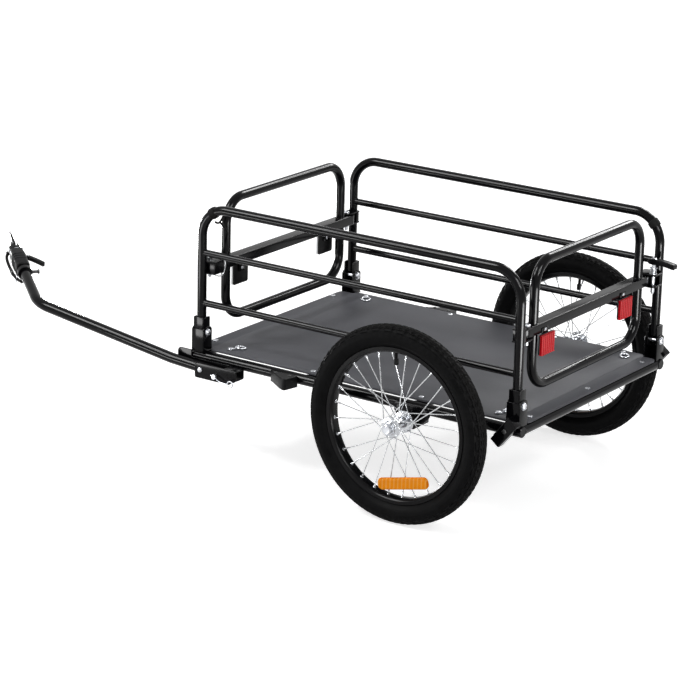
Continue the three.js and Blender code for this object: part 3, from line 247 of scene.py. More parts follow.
def plate(outline, axis, low, high, edge=0.5, edge_steps=3):
    """An outline given thickness along an axis. The edge is a quarter circle: at angle t the outline is drawn
    in by edge * (1 - sin t) along its mean normals, at height low + edge * (1 - cos t), and the same is
    mirrored at the top."""
    outline = np.asarray(outline, float)
    low, high = min(low, high), max(low, high)
    edge = min(edge, (high - low) * THICKEST_EDGE)
    along = np.roll(outline, -1, axis=0) - outline
    along /= np.linalg.norm(along, axis=1, keepdims=True)
    normal = np.stack([-along[:, 1], along[:, 0]], -1)
    mean = normal + np.roll(normal, 1, axis=0)
    mean /= np.maximum(np.sum(mean * normal, axis=1, keepdims=True), MITRE_LIMIT)
    t = np.linspace(0, math.pi / 2, edge_steps + 1)
    inset = np.concatenate([edge * (1 - np.sin(t)), edge * (1 - np.sin(t[::-1]))])
    height = np.concatenate([low + edge * (1 - np.cos(t)), high - edge * (1 - np.cos(t[::-1]))])
    flat = outline[None] + inset[:, None, None] * mean[None]
    rings = np.empty((len(height), len(outline), 3))
    first, second = {"x": (1, 2), "y": (0, 2), "z": (0, 1)}[axis]
    rings[..., first], rings[..., second] = flat[..., 0], flat[..., 1]
    rings[..., "xyz".index(axis)] = height[:, None]
    return rings.reshape(-1, 3), ring_faces(rings)


def block(x0, x1, y0, y1, z0, z1, edge=0.5):
    """A box with rounded upright and level edges."""
    corner = min(edge, abs(x1 - x0) * 0.45, abs(y1 - y0) * 0.45)
    return plate(rectangle(x0, x1, y0, y1, corner, 2), "z", z0, z1, edge)


def placed(surface, matrix=np.eye(3), shift=ORIGIN):
    """The surface turned by a matrix and then moved."""
    points, faces = surface
    return points @ np.asarray(matrix).T + np.asarray(shift, float), faces


def turned_about(axis, angle):
    """The rotation matrix cos a I + sin a [axis] + (1 - cos a) axis axis'."""
    cross = np.array([[0, -axis[2], axis[1]], [axis[2], 0, -axis[0]], [-axis[1], axis[0], 0]])
    return math.cos(angle) * np.eye(3) + math.sin(angle) * cross + (1 - math.cos(angle)) * np.outer(axis, axis)


HALF_TURN = turned_about(Z, math.pi)

# %% Pieces
SHARP_ANGLE = math.radians(32)  # faces that meet at more than this show an edge


class Piece:
    """Surfaces gathered into one mesh, each with its own finish. A piece may have a frame of its own: a
    point p that it is given lies at matrix p + shift."""

    def __init__(self, name, matrix=np.eye(3), shift=ORIGIN):
        self.name, self.matrix, self.shift = name, matrix, shift
        self.points, self.faces, self.slots, self.finishes = [], [], [], []

    def add(self, what, *surfaces):
        """Surfaces that all have the finish named what."""
        if what not in self.finishes:
            self.finishes.append(what)
        for surface in surfaces:
            points, faces = placed(surface, self.matrix, self.shift)
            start = sum(len(group) for group in self.points)
            self.points.append(points)
            self.faces += [[start + index for index in face] for face in faces]
            self.slots += [self.finishes.index(what)] * len(faces)

    def make(self, body, node_name):
        """The mesh in metres with its faces turned outwards, riding on its body in place of the solid."""
        points = np.concatenate(self.points) * MILLIMETRE
        points[:, 0] += BED_SHIFT
        mesh = bpy.data.meshes.new(self.name)
        mesh.from_pydata(points.tolist(), [], self.faces)
        mesh.polygons.foreach_set("material_index", np.array(self.slots, np.int32))
        mesh.polygons.foreach_set("use_smooth", np.ones(len(mesh.polygons), bool))
        shell = bmesh.new()
        shell.from_mesh(mesh)
        bmesh.ops.recalc_face_normals(shell, faces=shell.faces)
        shell.to_mesh(mesh)
        shell.free()
        mesh.set_sharp_from_angle(angle=SHARP_ANGLE)
        for what in self.finishes:
            mesh.materials.append(FINISH[what])
        made = bpy.data.objects.new(self.name, mesh)
        bpy.context.scene.collection.objects.link(made)
        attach(made, body)
        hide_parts(node_name)


# %% Small hardware
def bolt_head(place, axis, radius, height, steps=28):
    """A low dome: a cylinder up to 0.35 of the height, closed by an ellipse with a small flat on top."""
    t = np.linspace(0, math.pi / 2 * 0.94, 7)
    rim = 0.35 * height
    profile = [[radius * 0.94, 0], [radius, 0.12 * height], [radius, rim]]
    profile += np.stack([radius * np.cos(t), rim + (height - rim) * np.sin(t)], -1)[1:].tolist()
    return turn(profile, place, axis, steps)


def hex_nut(place, axis, radius, height):
    """A six-sided nut with its corners turned off at both faces."""
    face, near, far = radius * 0.86, 0.16 * height, 0.84 * height
    return turn([[face, 0], [radius, near], [radius, far], [face, height]], place, axis, 6)


def rod(start, end, radius, steps=24, edge=0.4):
    """A round bar between two points with its ends rounded off."""
    start, end = np.asarray(start, float), np.asarray(end, float)
    length = np.linalg.norm(end - start)
    edge = min(edge, length * 0.4, radius * 0.5)
    profile = [[radius - edge, 0], [radius, edge], [radius, length - edge], [radius - edge, length]]
    return turn(profile, start, end - start, steps)


print("ways of making a surface: sweep, turn, plate")

# %% [markdown]
# ## Finishes
# Each finish is a shader tree. What several finishes share is a node group that hands out masks, values and
# normals: the grain and patches of paint, rubber and plastic, the rings that turning leaves, and the prisms
# of a reflector. Every one reads object coordinates in metres, so the grain keeps its real size on every
# piece.


# %% Node helpers
def node(tree, kind, settings=None, sockets=None):
    """A node with its settings, and its sockets linked to other sockets or given values."""
    made = tree.nodes.new(kind)
    for key, value in (settings or {}).items():
        setattr(made, key, value)
    for key, value in (sockets or {}).items():
        if isinstance(value, bpy.types.NodeSocket):
            tree.links.new(value, made.inputs[key])
        else:
            made.inputs[key].default_value = value
    return made


def connect(tree, inputs, sockets):
    """Each socket linked to the input that it is named for."""
    for label, socket in sockets.items():
        tree.links.new(socket, inputs[label])


def object_place(tree):
    return node(tree, "ShaderNodeTexCoord").outputs["Object"]


def worked_out(tree, operation, *values):
    """The result of a Math node."""
    return node(tree, "ShaderNodeMath", {"operation": operation}, dict(enumerate(values))).outputs[0]


def vector_result(tree, operation, *values):
    """The result of a Vector Math node, which is a number for a length or a dot product."""
    made = node(tree, "ShaderNodeVectorMath", {"operation": operation}, dict(enumerate(values)))
    return made.outputs["Value" if operation in ("LENGTH", "DOT_PRODUCT") else "Vector"]


def noise(tree, place, scale, detail):
    sockets = {"Vector": place, "Scale": scale, "Detail": detail}
    return node(tree, "ShaderNodeTexNoise", None, sockets).outputs[0]


def bump(tree, height, strength, distance, invert=False):
    """A normal tilted by a height whose whole range stands for distance metres."""
    return node(tree, "ShaderNodeBump", {"invert": invert},
                {"Height": height, "Strength": strength, "Distance": distance}).outputs[0]


def mixed(tree, factor, first, second):
    """The first colour where factor is 0 and the second where it is 1."""
    return node(tree, "ShaderNodeMix", {"data_type": "RGBA"}, {0: factor, 6: first, 7: (*second, 1)}).outputs[2]


def ramp(tree, factor, *stops):
    """A colour that runs through (place, grey or colour) stops as factor goes from 0 to 1."""
    made = node(tree, "ShaderNodeValToRGB", None, {0: factor})
    for element, (place, colour) in zip(made.color_ramp.elements, stops, strict=True):
        element.position = place
        element.color = (*colour, 1) if isinstance(colour, tuple) else (colour, colour, colour, 1)
    return made.outputs[0]


def from_axle(tree, axle):
    """A point's offset from an axle along Y, the part of it square to the axle, and that part's length."""
    away = vector_result(tree, "SUBTRACT", object_place(tree), axle)
    flat = vector_result(tree, "MULTIPLY", away, (1, 0, 1))
    return away, flat, vector_result(tree, "LENGTH", flat)


# %% Shared effects
GRAIN_HEIGHT, RING_HEIGHT, PRISM_HEIGHT = 0.0003, 0.0002, 0.0008  # metres


def effect(name, inputs, outputs):
    """An empty node group with the sockets named."""
    tree = bpy.data.node_groups.new(name, "ShaderNodeTree")
    for label, kind, value in inputs:
        tree.interface.new_socket(label, in_out="INPUT", socket_type="NodeSocket" + kind).default_value = value
    for label, kind in outputs:
        tree.interface.new_socket(label, in_out="OUTPUT", socket_type="NodeSocket" + kind)
    return tree, tree.nodes.new("NodeGroupInput").outputs, tree.nodes.new("NodeGroupOutput").inputs


def grain_effect():
    """Two sizes of noise: coarse patches as a mask, and fine grain as a normal."""
    tree, given, result = effect(
        "grain", [("Fine", "Float", 900), ("Coarse", "Float", 12), ("Depth", "Float", 0.1)],
        [("Normal", "Vector"), ("Patches", "Float"), ("Grain", "Float")])
    place = object_place(tree)
    fine, coarse = noise(tree, place, given["Fine"], 3), noise(tree, place, given["Coarse"], 5)
    tilt = bump(tree, fine, given["Depth"], GRAIN_HEIGHT)
    connect(tree, result, {"Normal": tilt, "Patches": coarse, "Grain": fine})
    return tree


def turned_effect():
    """Rings about an axle along Y: noise read at (distance from the axle, place along it), drawn out round
    it by a fiftieth of the true place."""
    tree, given, result = effect(
        "turned", [("Axle", "Vector", ORIGIN), ("Fineness", "Float", 900), ("Depth", "Float", 0.1)],
        [("Normal", "Vector"), ("Rings", "Float")])
    away, flat, radius = from_axle(tree, given["Axle"])
    along = node(tree, "ShaderNodeSeparateXYZ", None, {0: away}).outputs["Y"]
    slow = node(tree, "ShaderNodeVectorMath", {"operation": "SCALE"}, {0: flat, "Scale": 0.02}).outputs[0]
    across = node(tree, "ShaderNodeCombineXYZ", None, {"X": radius, "Y": along}).outputs[0]
    rings = noise(tree, vector_result(tree, "ADD", slow, across), given["Fineness"], 4)
    tilt = bump(tree, rings, given["Depth"], RING_HEIGHT)
    connect(tree, result, {"Normal": tilt, "Rings": rings})
    return tree


def prism_effect():
    """Rows of small pyramids: square cells turned by 45 degrees, in the plane of Z and the direction Across."""
    tree, given, result = effect(
        "prisms", [("Across", "Vector", (0, 1, 0)), ("Size", "Float", 0.0026), ("Depth", "Float", 0.6)],
        [("Normal", "Vector"), ("Facet", "Float")])
    place = object_place(tree)
    level = vector_result(tree, "DOT_PRODUCT", place, given["Across"])
    upright = node(tree, "ShaderNodeSeparateXYZ", None, {0: place}).outputs["Z"]
    flat = node(tree, "ShaderNodeCombineXYZ", None, {"X": level, "Y": upright}).outputs[0]
    turned = {"Vector": flat, "Rotation": (0, 0, math.pi / 4)}
    diamond = node(tree, "ShaderNodeMapping", None, turned).outputs[0]
    fineness = worked_out(tree, "DIVIDE", 1.0, given["Size"])
    cells = node(tree, "ShaderNodeTexVoronoi", {"voronoi_dimensions": "2D", "distance": "CHEBYCHEV"},
                 {"Vector": diamond, "Scale": fineness, "Randomness": 0.0})
    facet = cells.outputs["Distance"]
    tilt = bump(tree, facet, given["Depth"], PRISM_HEIGHT, invert=True)
    connect(tree, result, {"Normal": tilt, "Facet": facet})
    return tree


GRAIN, TURNED, PRISMS = grain_effect(), turned_effect(), prism_effect()
FINISH = {}


def finish(name, metallic=0.0, specular=0.5):
    """A material with one shader whose even values are set on its own sockets."""
    material = bpy.data.materials.new(name)
    material.use_nodes = True
    sockets = material.node_tree.nodes["Principled BSDF"].inputs
    sockets["Metallic"].default_value = metallic
    sockets["Specular IOR Level"].default_value = specular
    FINISH[name] = material
    return material.node_tree, sockets


def grained(name, colours, roughness, grain, **even):
    """A finish whose colour runs from dark to light and its roughness from smooth to rough, patch by patch."""
    tree, sockets = finish(name, **even)
    (dark, light), (smooth, rough) = colours, roughness
    group = node(tree, "ShaderNodeGroup", {"node_tree": GRAIN}, dict(zip(("Fine", "Coarse", "Depth"), grain)))
    patches = group.outputs["Patches"]
    connect(tree, sockets, {"Base Color": ramp(tree, patches, (0.35, dark), (0.65, light)),
                            "Roughness": ramp(tree, patches, (0.3, smooth), (0.7, rough)),
                            "Normal": group.outputs["Normal"]})
    return tree, sockets, group


# %% Paints, metals and plastics
# Each row: dark and light; smooth and rough; grains and patches to a metre and depth; metallic; specular level.
for name, colours, roughness, grain, metallic, specular in (
    ("powder_coat", ((0.0022, 0.0022, 0.0028), (0.004, 0.004, 0.0048)),
     (0.11, 0.17), (700, 9, 0.05), 0, 0.1),
    ("weld_coat", ((0.0035, 0.0035, 0.004), (0.007, 0.007, 0.0075)),
     (0.18, 0.3), (500, 60, 0.18), 0, 0.11),
    ("rim_coat", ((0.003, 0.003, 0.0035), (0.006, 0.006, 0.0065)),
     (0.18, 0.28), (600, 14, 0.06), 0, 0.08),
    ("black_bolt", ((0.008, 0.008, 0.009), (0.018, 0.018, 0.019)),
     (0.28, 0.45), (1500, 160, 0.08), 0, 0.4),
    ("zinc", ((0.34, 0.35, 0.375), (0.5, 0.51, 0.53)),
     (0.26, 0.4), (1800, 90, 0.08), 1, 0.5),
    ("satin_plastic", ((0.004, 0.004, 0.0045), (0.008, 0.008, 0.0085)),
     (0.32, 0.44), (1600, 30, 0.12), 0, 0.09),
    ("strap_rubber", ((0.004, 0.004, 0.004), (0.008, 0.008, 0.008)),
     (0.55, 0.72), (900, 60, 0.25), 0, 0.06),
    ("end_plug", ((0.004, 0.004, 0.004), (0.008, 0.008, 0.008)),
     (0.5, 0.62), (1200, 40, 0.12), 0, 0.06),
):
    grained(name, colours, roughness, grain, metallic=metallic, specular=specular)

# %% [markdown]
# The deck is a thin dark board with a fine matt texture. The peaks of its grain are pale specks, a fraction of a
# millimetre across, and a noise drawn out along the bed gives the faint marks of loads slid on and off.

# %% Deck
SPECK_COLOUR, SCUFF_COLOUR = (0.175, 0.178, 0.19), (0.16, 0.165, 0.175)
tree, sockets, group = grained("deck_face", ((0.088, 0.09, 0.1), (0.122, 0.124, 0.136)), (0.46, 0.6),
                               (1300, 5, 0.3), specular=0.05)
drawn = node(tree, "ShaderNodeMapping", None, {"Vector": object_place(tree), "Scale": (3, 90, 1)}).outputs[0]
worn = ramp(tree, noise(tree, drawn, 4.0, 6), (0.64, 0.0), (0.72, 0.25))
speck = ramp(tree, group.outputs["Grain"], (0.66, 0.0), (0.72, 0.5))
colour = sockets["Base Color"].links[0].from_socket
specked = mixed(tree, speck, colour, SPECK_COLOUR)
connect(tree, sockets, {"Base Color": mixed(tree, worn, specked, SCUFF_COLOUR)})

# %% [markdown]
# Hubs and spokes are turned or drawn metal. Fine rings run round the axle, and the roughness follows them, so a
# highlight breaks into streaks as it does on a turned shell.

# %% Turned metals
WHEEL_X, WHEEL_Y, WHEEL_R = 150.0, 334.0, 200.0
AXLE = (WHEEL_X * MILLIMETRE + BED_SHIFT, 0, WHEEL_R * MILLIMETRE)


def turned_metal(name, colours, roughness, fineness, depth):
    """Metal with rings about the wheels' axle: colour, roughness and normal all follow the rings."""
    tree, sockets = finish(name, metallic=1.0)
    (dark, light), (smooth, rough) = colours, roughness
    given = {"Axle": AXLE, "Fineness": fineness, "Depth": depth}
    group = node(tree, "ShaderNodeGroup", {"node_tree": TURNED}, given)
    rings = group.outputs["Rings"]
    connect(tree, sockets, {"Base Color": ramp(tree, rings, (0.3, dark), (0.7, light)),
                            "Roughness": ramp(tree, rings, (0.3, smooth), (0.7, rough)),
                            "Normal": group.outputs["Normal"]})


turned_metal("hub_metal", ((0.3, 0.31, 0.33), (0.52, 0.53, 0.55)), (0.14, 0.26), 1400, 0.08)
turned_metal("spoke_metal", ((0.4, 0.41, 0.42), (0.55, 0.56, 0.57)), (0.2, 0.32), 500, 0.03)

# %% [markdown]
# Tyre rubber is matt and nearly black. Dust greys the tread a little, by distance from the axle, while the
# sidewall stays darker.

# %% Tyre rubber
DUST_COLOUR, DUST_FROM, DUST_SHARE = (0.045, 0.044, 0.042), 0.95 * WHEEL_R * MILLIMETRE, 0.25
tree, sockets, group = grained("tyre_rubber", ((0.0032, 0.0032, 0.0034), (0.006, 0.006, 0.0064)), (0.48, 0.64),
                               (1500, 40, 0.3), specular=0.026)
radius = from_axle(tree, AXLE)[2]
tread = node(tree, "ShaderNodeMapRange", None,
             {0: radius, 1: DUST_FROM, 2: WHEEL_R * MILLIMETRE, 3: 0.0, 4: DUST_SHARE}).outputs[0]
dusty = worked_out(tree, "MULTIPLY", tread, group.outputs["Patches"])
colour = sockets["Base Color"].links[0].from_socket
connect(tree, sockets, {"Base Color": mixed(tree, dusty, colour, DUST_COLOUR)})

# %% [markdown]
# A reflector is a moulded lens over rows of small prisms, which throw light back in sparkles. The facets
# set both the tilt of the surface and how deep the colour looks: the sparkle is painted into the colour, a
# painted highlight at each prism's tip and painted shade at its foot. Upright ribs on the face gather light,
# and their paler colour is a painted highlight.

# %% Lenses
PRISM_DEPTH, LENS_SPECULAR = 0.75, 0.06
# The paler colour of the upright ribs is a painted highlight.
RIB_HIGHLIGHT = ((0.3, 0.0), (0.9, 0.8))  # how much of the pale colour shows, as the cosine rises


def lens(name, across, deep, bright, rib, size=0.0026):
    """Moulded lens: colour runs from deep at each prism's foot to bright at its tip, painted shade at the foot
    and a painted highlight at the tip. Upright ribs, where cos(2 pi place / rib) is near 1, turn paler with a
    painted
    highlight: a strong part p of the colour becomes 0.45 + 0.55 p, which is 45 % of the way to white, and a weak
    one 0.09 + 0.9 p."""
    tree, sockets = finish(name, specular=LENS_SPECULAR)
    given = {"Across": across, "Size": size, "Depth": PRISM_DEPTH}
    group = node(tree, "ShaderNodeGroup", {"node_tree": PRISMS}, given)
    facet = group.outputs["Facet"]
    # Prism colour: a painted highlight at each tip and painted shade at each foot.
    prisms = ramp(tree, facet, (0.1, bright), (0.48, deep))
    level = vector_result(tree, "DOT_PRODUCT", object_place(tree), across)
    wave = worked_out(tree, "COSINE", worked_out(tree, "MULTIPLY", level, 2 * math.pi / rib))
    # The ribs' paler colour, a painted highlight, is mixed over the prisms' colour.
    rib_highlight = tuple(0.45 + 0.55 * part if part > 0.5 else 0.09 + 0.9 * part for part in bright)
    connect(tree, sockets, {"Base Color": mixed(tree, ramp(tree, wave, *RIB_HIGHLIGHT), prisms, rib_highlight),
                            "Roughness": ramp(tree, facet, (0.1, 0.16), (0.5, 0.34)),
                            "Normal": group.outputs["Normal"]})


# Each lens: the deep colour is painted shade at the prisms' feet, the bright one a painted highlight at their
# tips.
lens("red_lens", (0, 1, 0), (0.42, 0.0, 0.004), (0.85, 0.002, 0.012), 0.007)
lens("clear_lens", (0, 1, 0), (0.5, 0.51, 0.53), (0.86, 0.87, 0.88), 0.007)
lens("amber_lens", (1, 0, 0), (0.95, 0.2, 0.0), (1.0, 0.42, 0.0), 0.009, 0.003)
print("finishes:", ", ".join(FINISH))

# %% [markdown]
# ## Bed
# The base frame is round tube welded where the tubes meet. A weld follows the line where a small tube lands
# on a larger one, so its bead is a rippled tube along that line. A channel stands on each corner for a
# panel's foot.

# %% Sizes of the bed
POST_X, POST_Y, POST_R = 376.0, 268.0, 9.5
HOOP_TOP, HOOP_BEND, POST_FOOT = 532.0, 60.0, 281.0
RAILS, RAIL_R = (331.0, 436.5), 7.0
FRAME_X, FRAME_Y, FRAME_Z, FRAME_R = 383.0, 270.5, 219.5, 11.0
SIDE_FACE = FRAME_Y + FRAME_R + 0.3
CROSSES = (-383.0, -108.0, 150.0, 383.0)
DECK_LOW, DECK_TOP = 230.8, 234.8
CHANNEL_OUT, CHANNEL_IN, CHANNEL_LOW, CHANNEL_TOP = 281.5, 253.0, 230.0, 281.0
EAR_NEAR, EAR_FAR, FOLDED = 12.7, 15.0, 2.3
PIVOT_Z = 270.0


def weld(end, along, lengthwise, small, large, bead, ripple=0.16, ripples=18, steps=72):
    """The bead where a tube of radius small leaves one of radius large: at angle a round the small tube it
    lies at end + small * (cos a * across + sin a * lengthwise) + along * sqrt(large^2 - (small cos a)^2)."""
    across = np.cross(along, lengthwise)
    a = around_once(steps)[:, None]
    rise = np.sqrt(np.maximum(large**2 - (small * np.cos(a)) ** 2, 0.01))
    seam = np.asarray(end, float) + small * (np.cos(a) * across + np.sin(a) * lengthwise) + along * rise
    radius = bead * (1 + ripple * np.sin(ripples * a[:, 0]))
    return sweep(seam, radius, along + 0.01 * across, 8, loop=True)


def straight_weld(start, end, bead, ripple, pace):
    """A bead between two points, whose radius at its step k is bead * (1 + ripple * sin(pace * k))."""
    radius = bead * (1 + ripple * np.sin(pace * np.arange(40)))
    return sweep(np.linspace(start, end, len(radius)), radius, Z, 8)


def corner_channel(x, side):
    """Floor, back and two ears of folded plate, with the ears' top corners rounded."""
    out, inner, half = side * CHANNEL_OUT, side * CHANNEL_IN, EAR_FAR - 0.3
    ear = rounded([(out, CHANNEL_LOW), (out, CHANNEL_TOP, 8), (inner, CHANNEL_TOP, 8), (inner, CHANNEL_LOW)])
    return [plate(ear, "x", x + s * EAR_NEAR, x + s * EAR_FAR, 0.6) for s in (-1, 1)] + [
        block(x - half, x + half, out, out - side * FOLDED, CHANNEL_LOW, CHANNEL_TOP - 3.5, 0.6),
        block(x - half, x + half, out - side * 0.3, inner, CHANNEL_LOW + 0.2, CHANNEL_LOW + 2.5, 0.6)]


# %% Base frame
base = Piece("welded_base_frame")
for y in (-FRAME_Y, FRAME_Y):
    reach = FRAME_X + FRAME_R
    base.add("powder_coat", rod((-reach, y, FRAME_Z), (reach, y, FRAME_Z), FRAME_R, 40, edge=1.2))
    for s in (-1, 1):
        base.add("end_plug", bolt_head((s * (reach - 0.6), y, FRAME_Z), s * X, FRAME_R - 2, 0.55))
for x in CROSSES:
    base.add("powder_coat", rod((x, -FRAME_Y, FRAME_Z), (x, FRAME_Y, FRAME_Z), FRAME_R, 36))
    for s in (-1, 1):
        base.add("weld_coat", weld((x, s * FRAME_Y, FRAME_Z), -s * Y, X, FRAME_R, FRAME_R + 0.05, bead=1.2))
for x in (-POST_X, POST_X):
    for side in (-1, 1):
        base.add("powder_coat", *corner_channel(x, side))
        y, z = side * (CHANNEL_OUT + 0.7), CHANNEL_LOW + 0.6
        base.add("weld_coat", straight_weld((x - EAR_FAR, y, z), (x + EAR_FAR, y, z), 1.1, 0.2, 1))
base.make("bed", "base_frame")

# %% [markdown]
# The deck is one board, cut round the four corner channels and held to the cross tubes by low round screws.

# %% Deck board
NOTCH = [(360.0, 265.0, 12), (360.0, 252.0, 2), (392.0, 252.0, 12)]
SCREWS = [(377, -219), (377, -1), (377, 219), (-383, -210), (-383, 0), (-383, 210), (-108, -252), (-108, 252),
          (150, -252), (150, 252)]
outline = []
for sx, sy in ((-1, -1), (1, -1), (1, 1), (-1, 1)):
    corner = [(sx * a, sy * b, r) for a, b, r in NOTCH]
    outline += corner[::-1] if sx * sy > 0 else corner
deck = Piece("deck_with_screws")
deck.add("deck_face", plate(rounded(outline, 8), "z", DECK_LOW, DECK_TOP, 0.7))
for x, y in SCREWS:
    deck.add("zinc", bolt_head((x, y, DECK_TOP - 0.1), Z, 5.2, 1.9, 26))
    deck.add("black_bolt", turn([[1.2, 0], [1.2, 0.25], [0.7, 0.3]], (x, y, DECK_TOP + 1.72), Z, 4))
deck.make("bed", "deck_board")

# %% [markdown]
# ## Side panels
# Each panel is a hoop with two rails let into its posts. Its feet stand in channels that turn on bolts in
# the corner brackets. One post carries the ears of a gate's hinge, the other the keeper that the other gate
# closes into.

# %% Sizes of the panels
GATE_X = POST_X - 10.6
BAR_LOW, BAR_HIGH, BAR_HALF = 394.5, 414.5, 12.5
PIN_X, PIN_Y, PIN_R = GATE_X + 5.6, 235.0, 4.0
KEEPER_X = GATE_X + BAR_HALF + 0.3 + PIN_R
SHOE_OUT, SHOE_IN, SHOE_LOW, SHOE_TOP, SHOE_NEAR, SHOE_FAR = 278.9, 256.5, 256.0, 302.0, 9.3, 12.4
EARS, HINGE_EAR = ((391.2, 394.2), (414.8, 417.8)), 12
STRAP_IN, STRAP_OUT, STRAP_LOW, STRAP_HIGH = 256.9, 266, 391.6, 417.4
KEEPER_REACH, KEEPER_END = 222.0, 258.5


# %% Side panels
def shoe(x, side):
    """Channel round a post's foot, open towards the bed, its lower corners rounded about the pivot."""
    out, inner, half = side * SHOE_OUT, side * SHOE_IN, SHOE_FAR - 0.3
    cheek = rounded([(out, SHOE_LOW, 8), (out, SHOE_TOP, 1.5), (inner, SHOE_TOP, 3), (inner, SHOE_LOW, 8)])
    return [plate(cheek, "x", x + s * SHOE_NEAR, x + s * SHOE_FAR, 0.7) for s in (-1, 1)] + [
        block(x - half, x + half, out, out - side * 1.9, SHOE_LOW + 3, SHOE_TOP, 0.6)]


def hinge_ears(side):
    """Two ears with round ends, folded from one strap that is welded to the post."""
    x, y, r = -side * PIN_X, side * PIN_Y, HINGE_EAR
    ear = rounded([(x - r, side * POST_Y), (x + r, side * POST_Y), (x + r, y - side * r, r),
                   (x - r, y - side * r, r)], 10)
    return [plate(ear, "z", low, high, 0.6) for low, high in EARS] + [
        block(x - r, x + r, side * STRAP_IN, side * STRAP_OUT, STRAP_LOW, STRAP_HIGH, 0.8)]


def keeper(side):
    """Channel open to the outside: two ears, a wall behind the bar and a saddle on the post."""
    inner, outer = side * (GATE_X - 15.6), side * (KEEPER_X + 9.8)
    reach, end = side * KEEPER_REACH, side * KEEPER_END
    ear = rounded([(inner, reach, 1), (outer, reach, 8), (outer, end, 8), (side * POST_X, side * POST_Y),
                   (inner, end, 1)], 8)
    return [plate(ear, "z", low, high, 0.6) for low, high in EARS] + [
        block(inner, inner + side * 2.8, reach, end, STRAP_LOW, STRAP_HIGH, 0.7),
        block(inner, outer - side * 6, side * STRAP_IN, side * 260.5, STRAP_LOW, STRAP_HIGH, 0.7)]


for hand, side in HANDS:
    y = side * POST_Y
    panel = Piece(hand + "_rail_hoop")
    hoop = arc_bends([(-POST_X, y, POST_FOOT), (-POST_X, y, HOOP_TOP), (POST_X, y, HOOP_TOP),
                      (POST_X, y, POST_FOOT)], [HOOP_BEND] * 2, 20)
    panel.add("powder_coat", sweep(hoop, POST_R, Y, 36))
    for z in RAILS:
        panel.add("powder_coat", rod((-POST_X, y, z), (POST_X, y, z), RAIL_R, 30))
        for s in (-1, 1):
            panel.add("weld_coat", weld((s * POST_X, y, z), -s * X, Z, RAIL_R, POST_R, bead=0.9))
    panel.add("powder_coat", *shoe(-POST_X, side), *shoe(POST_X, side), *hinge_ears(side), *keeper(side))
    panel.make("bed", hand + "_side_panel")

# %% Pivot bolts of the panels
for end, along in ENDS:
    for hand, side in HANDS:
        x, y, face = along * POST_X, side * POST_Y, EAR_FAR + 0.3
        bolt = Piece(f"{end}_{hand}_panel_bolt", shift=(x, y, PIVOT_Z))
        bolt.add("zinc", rod((-face, 0, 0), (face, 0, 0), PIN_R),
                 turn([[3.6, 0], [8, 0], [8, 1], [3.6, 1]], (face - 0.6, 0, 0), X, 28),
                 bolt_head((face, 0, 0), X, 7, 5, 32))
        bolt.add("black_bolt", turn([[1.9, 0], [2.0, 0.4], [1.6, 0.5]], (face + 4.6, 0, 0), X, 6))
        bolt.add("zinc", hex_nut((-face, 0, 0), -X, 7, 5))
        bolt.make("bed", f"{end}_{hand}_pivot_bolt")

# %% [markdown]
# ## Gates
# A gate is a closed loop of tube with a flat bar across it. The bar's ends are round in plan: one is bored
# for the hinge pin, the other lies in the keeper. Two reflectors hang from strips below the bar. The front
# gate is the same piece turned half round, with clear lenses that face forward.

# %% Gates
LOOP_HALF, LOOP_LOW, LOOP_TOP, LOOP_BEND, LOOP_R = 202.8, 285, 534, 50, 9.5
BAR_END = 247
REFLECTOR_HALF, REFLECTOR_TOP = 25, 394.0
STRIP_HALF, STRIP_TOP = 11, 404.5


def gate_loop(piece):
    """The tube, and the bead of the butt weld that closes it at the bottom."""
    corners = [(0, LOOP_HALF, LOOP_LOW), (0, LOOP_HALF, LOOP_TOP),
               (0, -LOOP_HALF, LOOP_TOP), (0, -LOOP_HALF, LOOP_LOW)]
    seam = (0, 0, LOOP_LOW)
    path = arc_bends([seam, *corners, seam], [LOOP_BEND] * 4, 18)[:-1]
    piece.add("powder_coat", sweep(path, LOOP_R, X, 36, loop=True))
    piece.add("weld_coat", turn([[9.45, -1.4], [9.85, -0.7], [9.95, 0], [9.85, 0.7], [9.45, 1.4]], seam, Y, 36))


def gate_bar(piece, places, tall):
    """The flat bar, a bead where it meets the loop above and below, and a bolted strip for each reflector."""
    piece.add("powder_coat", plate(rectangle(-BAR_HALF, BAR_HALF, -BAR_END, BAR_END, 12.4, 12), "z",
                                   BAR_LOW, BAR_HIGH, 1.6, 5))
    for s in (-1, 1):
        for z, up in ((BAR_HIGH, 1), (BAR_LOW, -1)):
            bead = [[9.4, 0], [10.9, 0], [10.6, up * 0.8], [9.9, up * 1.2], [9.4, up * 1.25]]
            piece.add("weld_coat", turn(bead, (0, s * LOOP_HALF, z - up * 0.1), Z, 40))
    for y in places:
        low, left, right = REFLECTOR_TOP - tall / 2, y - STRIP_HALF, y + STRIP_HALF
        strip = rounded([(left, low, 3), (right, low, 3), (right, STRIP_TOP, 2), (left, STRIP_TOP, 2)])
        piece.add("powder_coat", plate(strip, "x", BAR_HALF - 0.2, BAR_HALF + 2, 0.5))
        piece.add("zinc", bolt_head((BAR_HALF + 1.9, y, STRIP_TOP - 4.3), X, 3.4, 1.8, 22),
                  bolt_head((BAR_HALF - 0.1, y, low + 7), -X, 3.6, 2.0, 22))


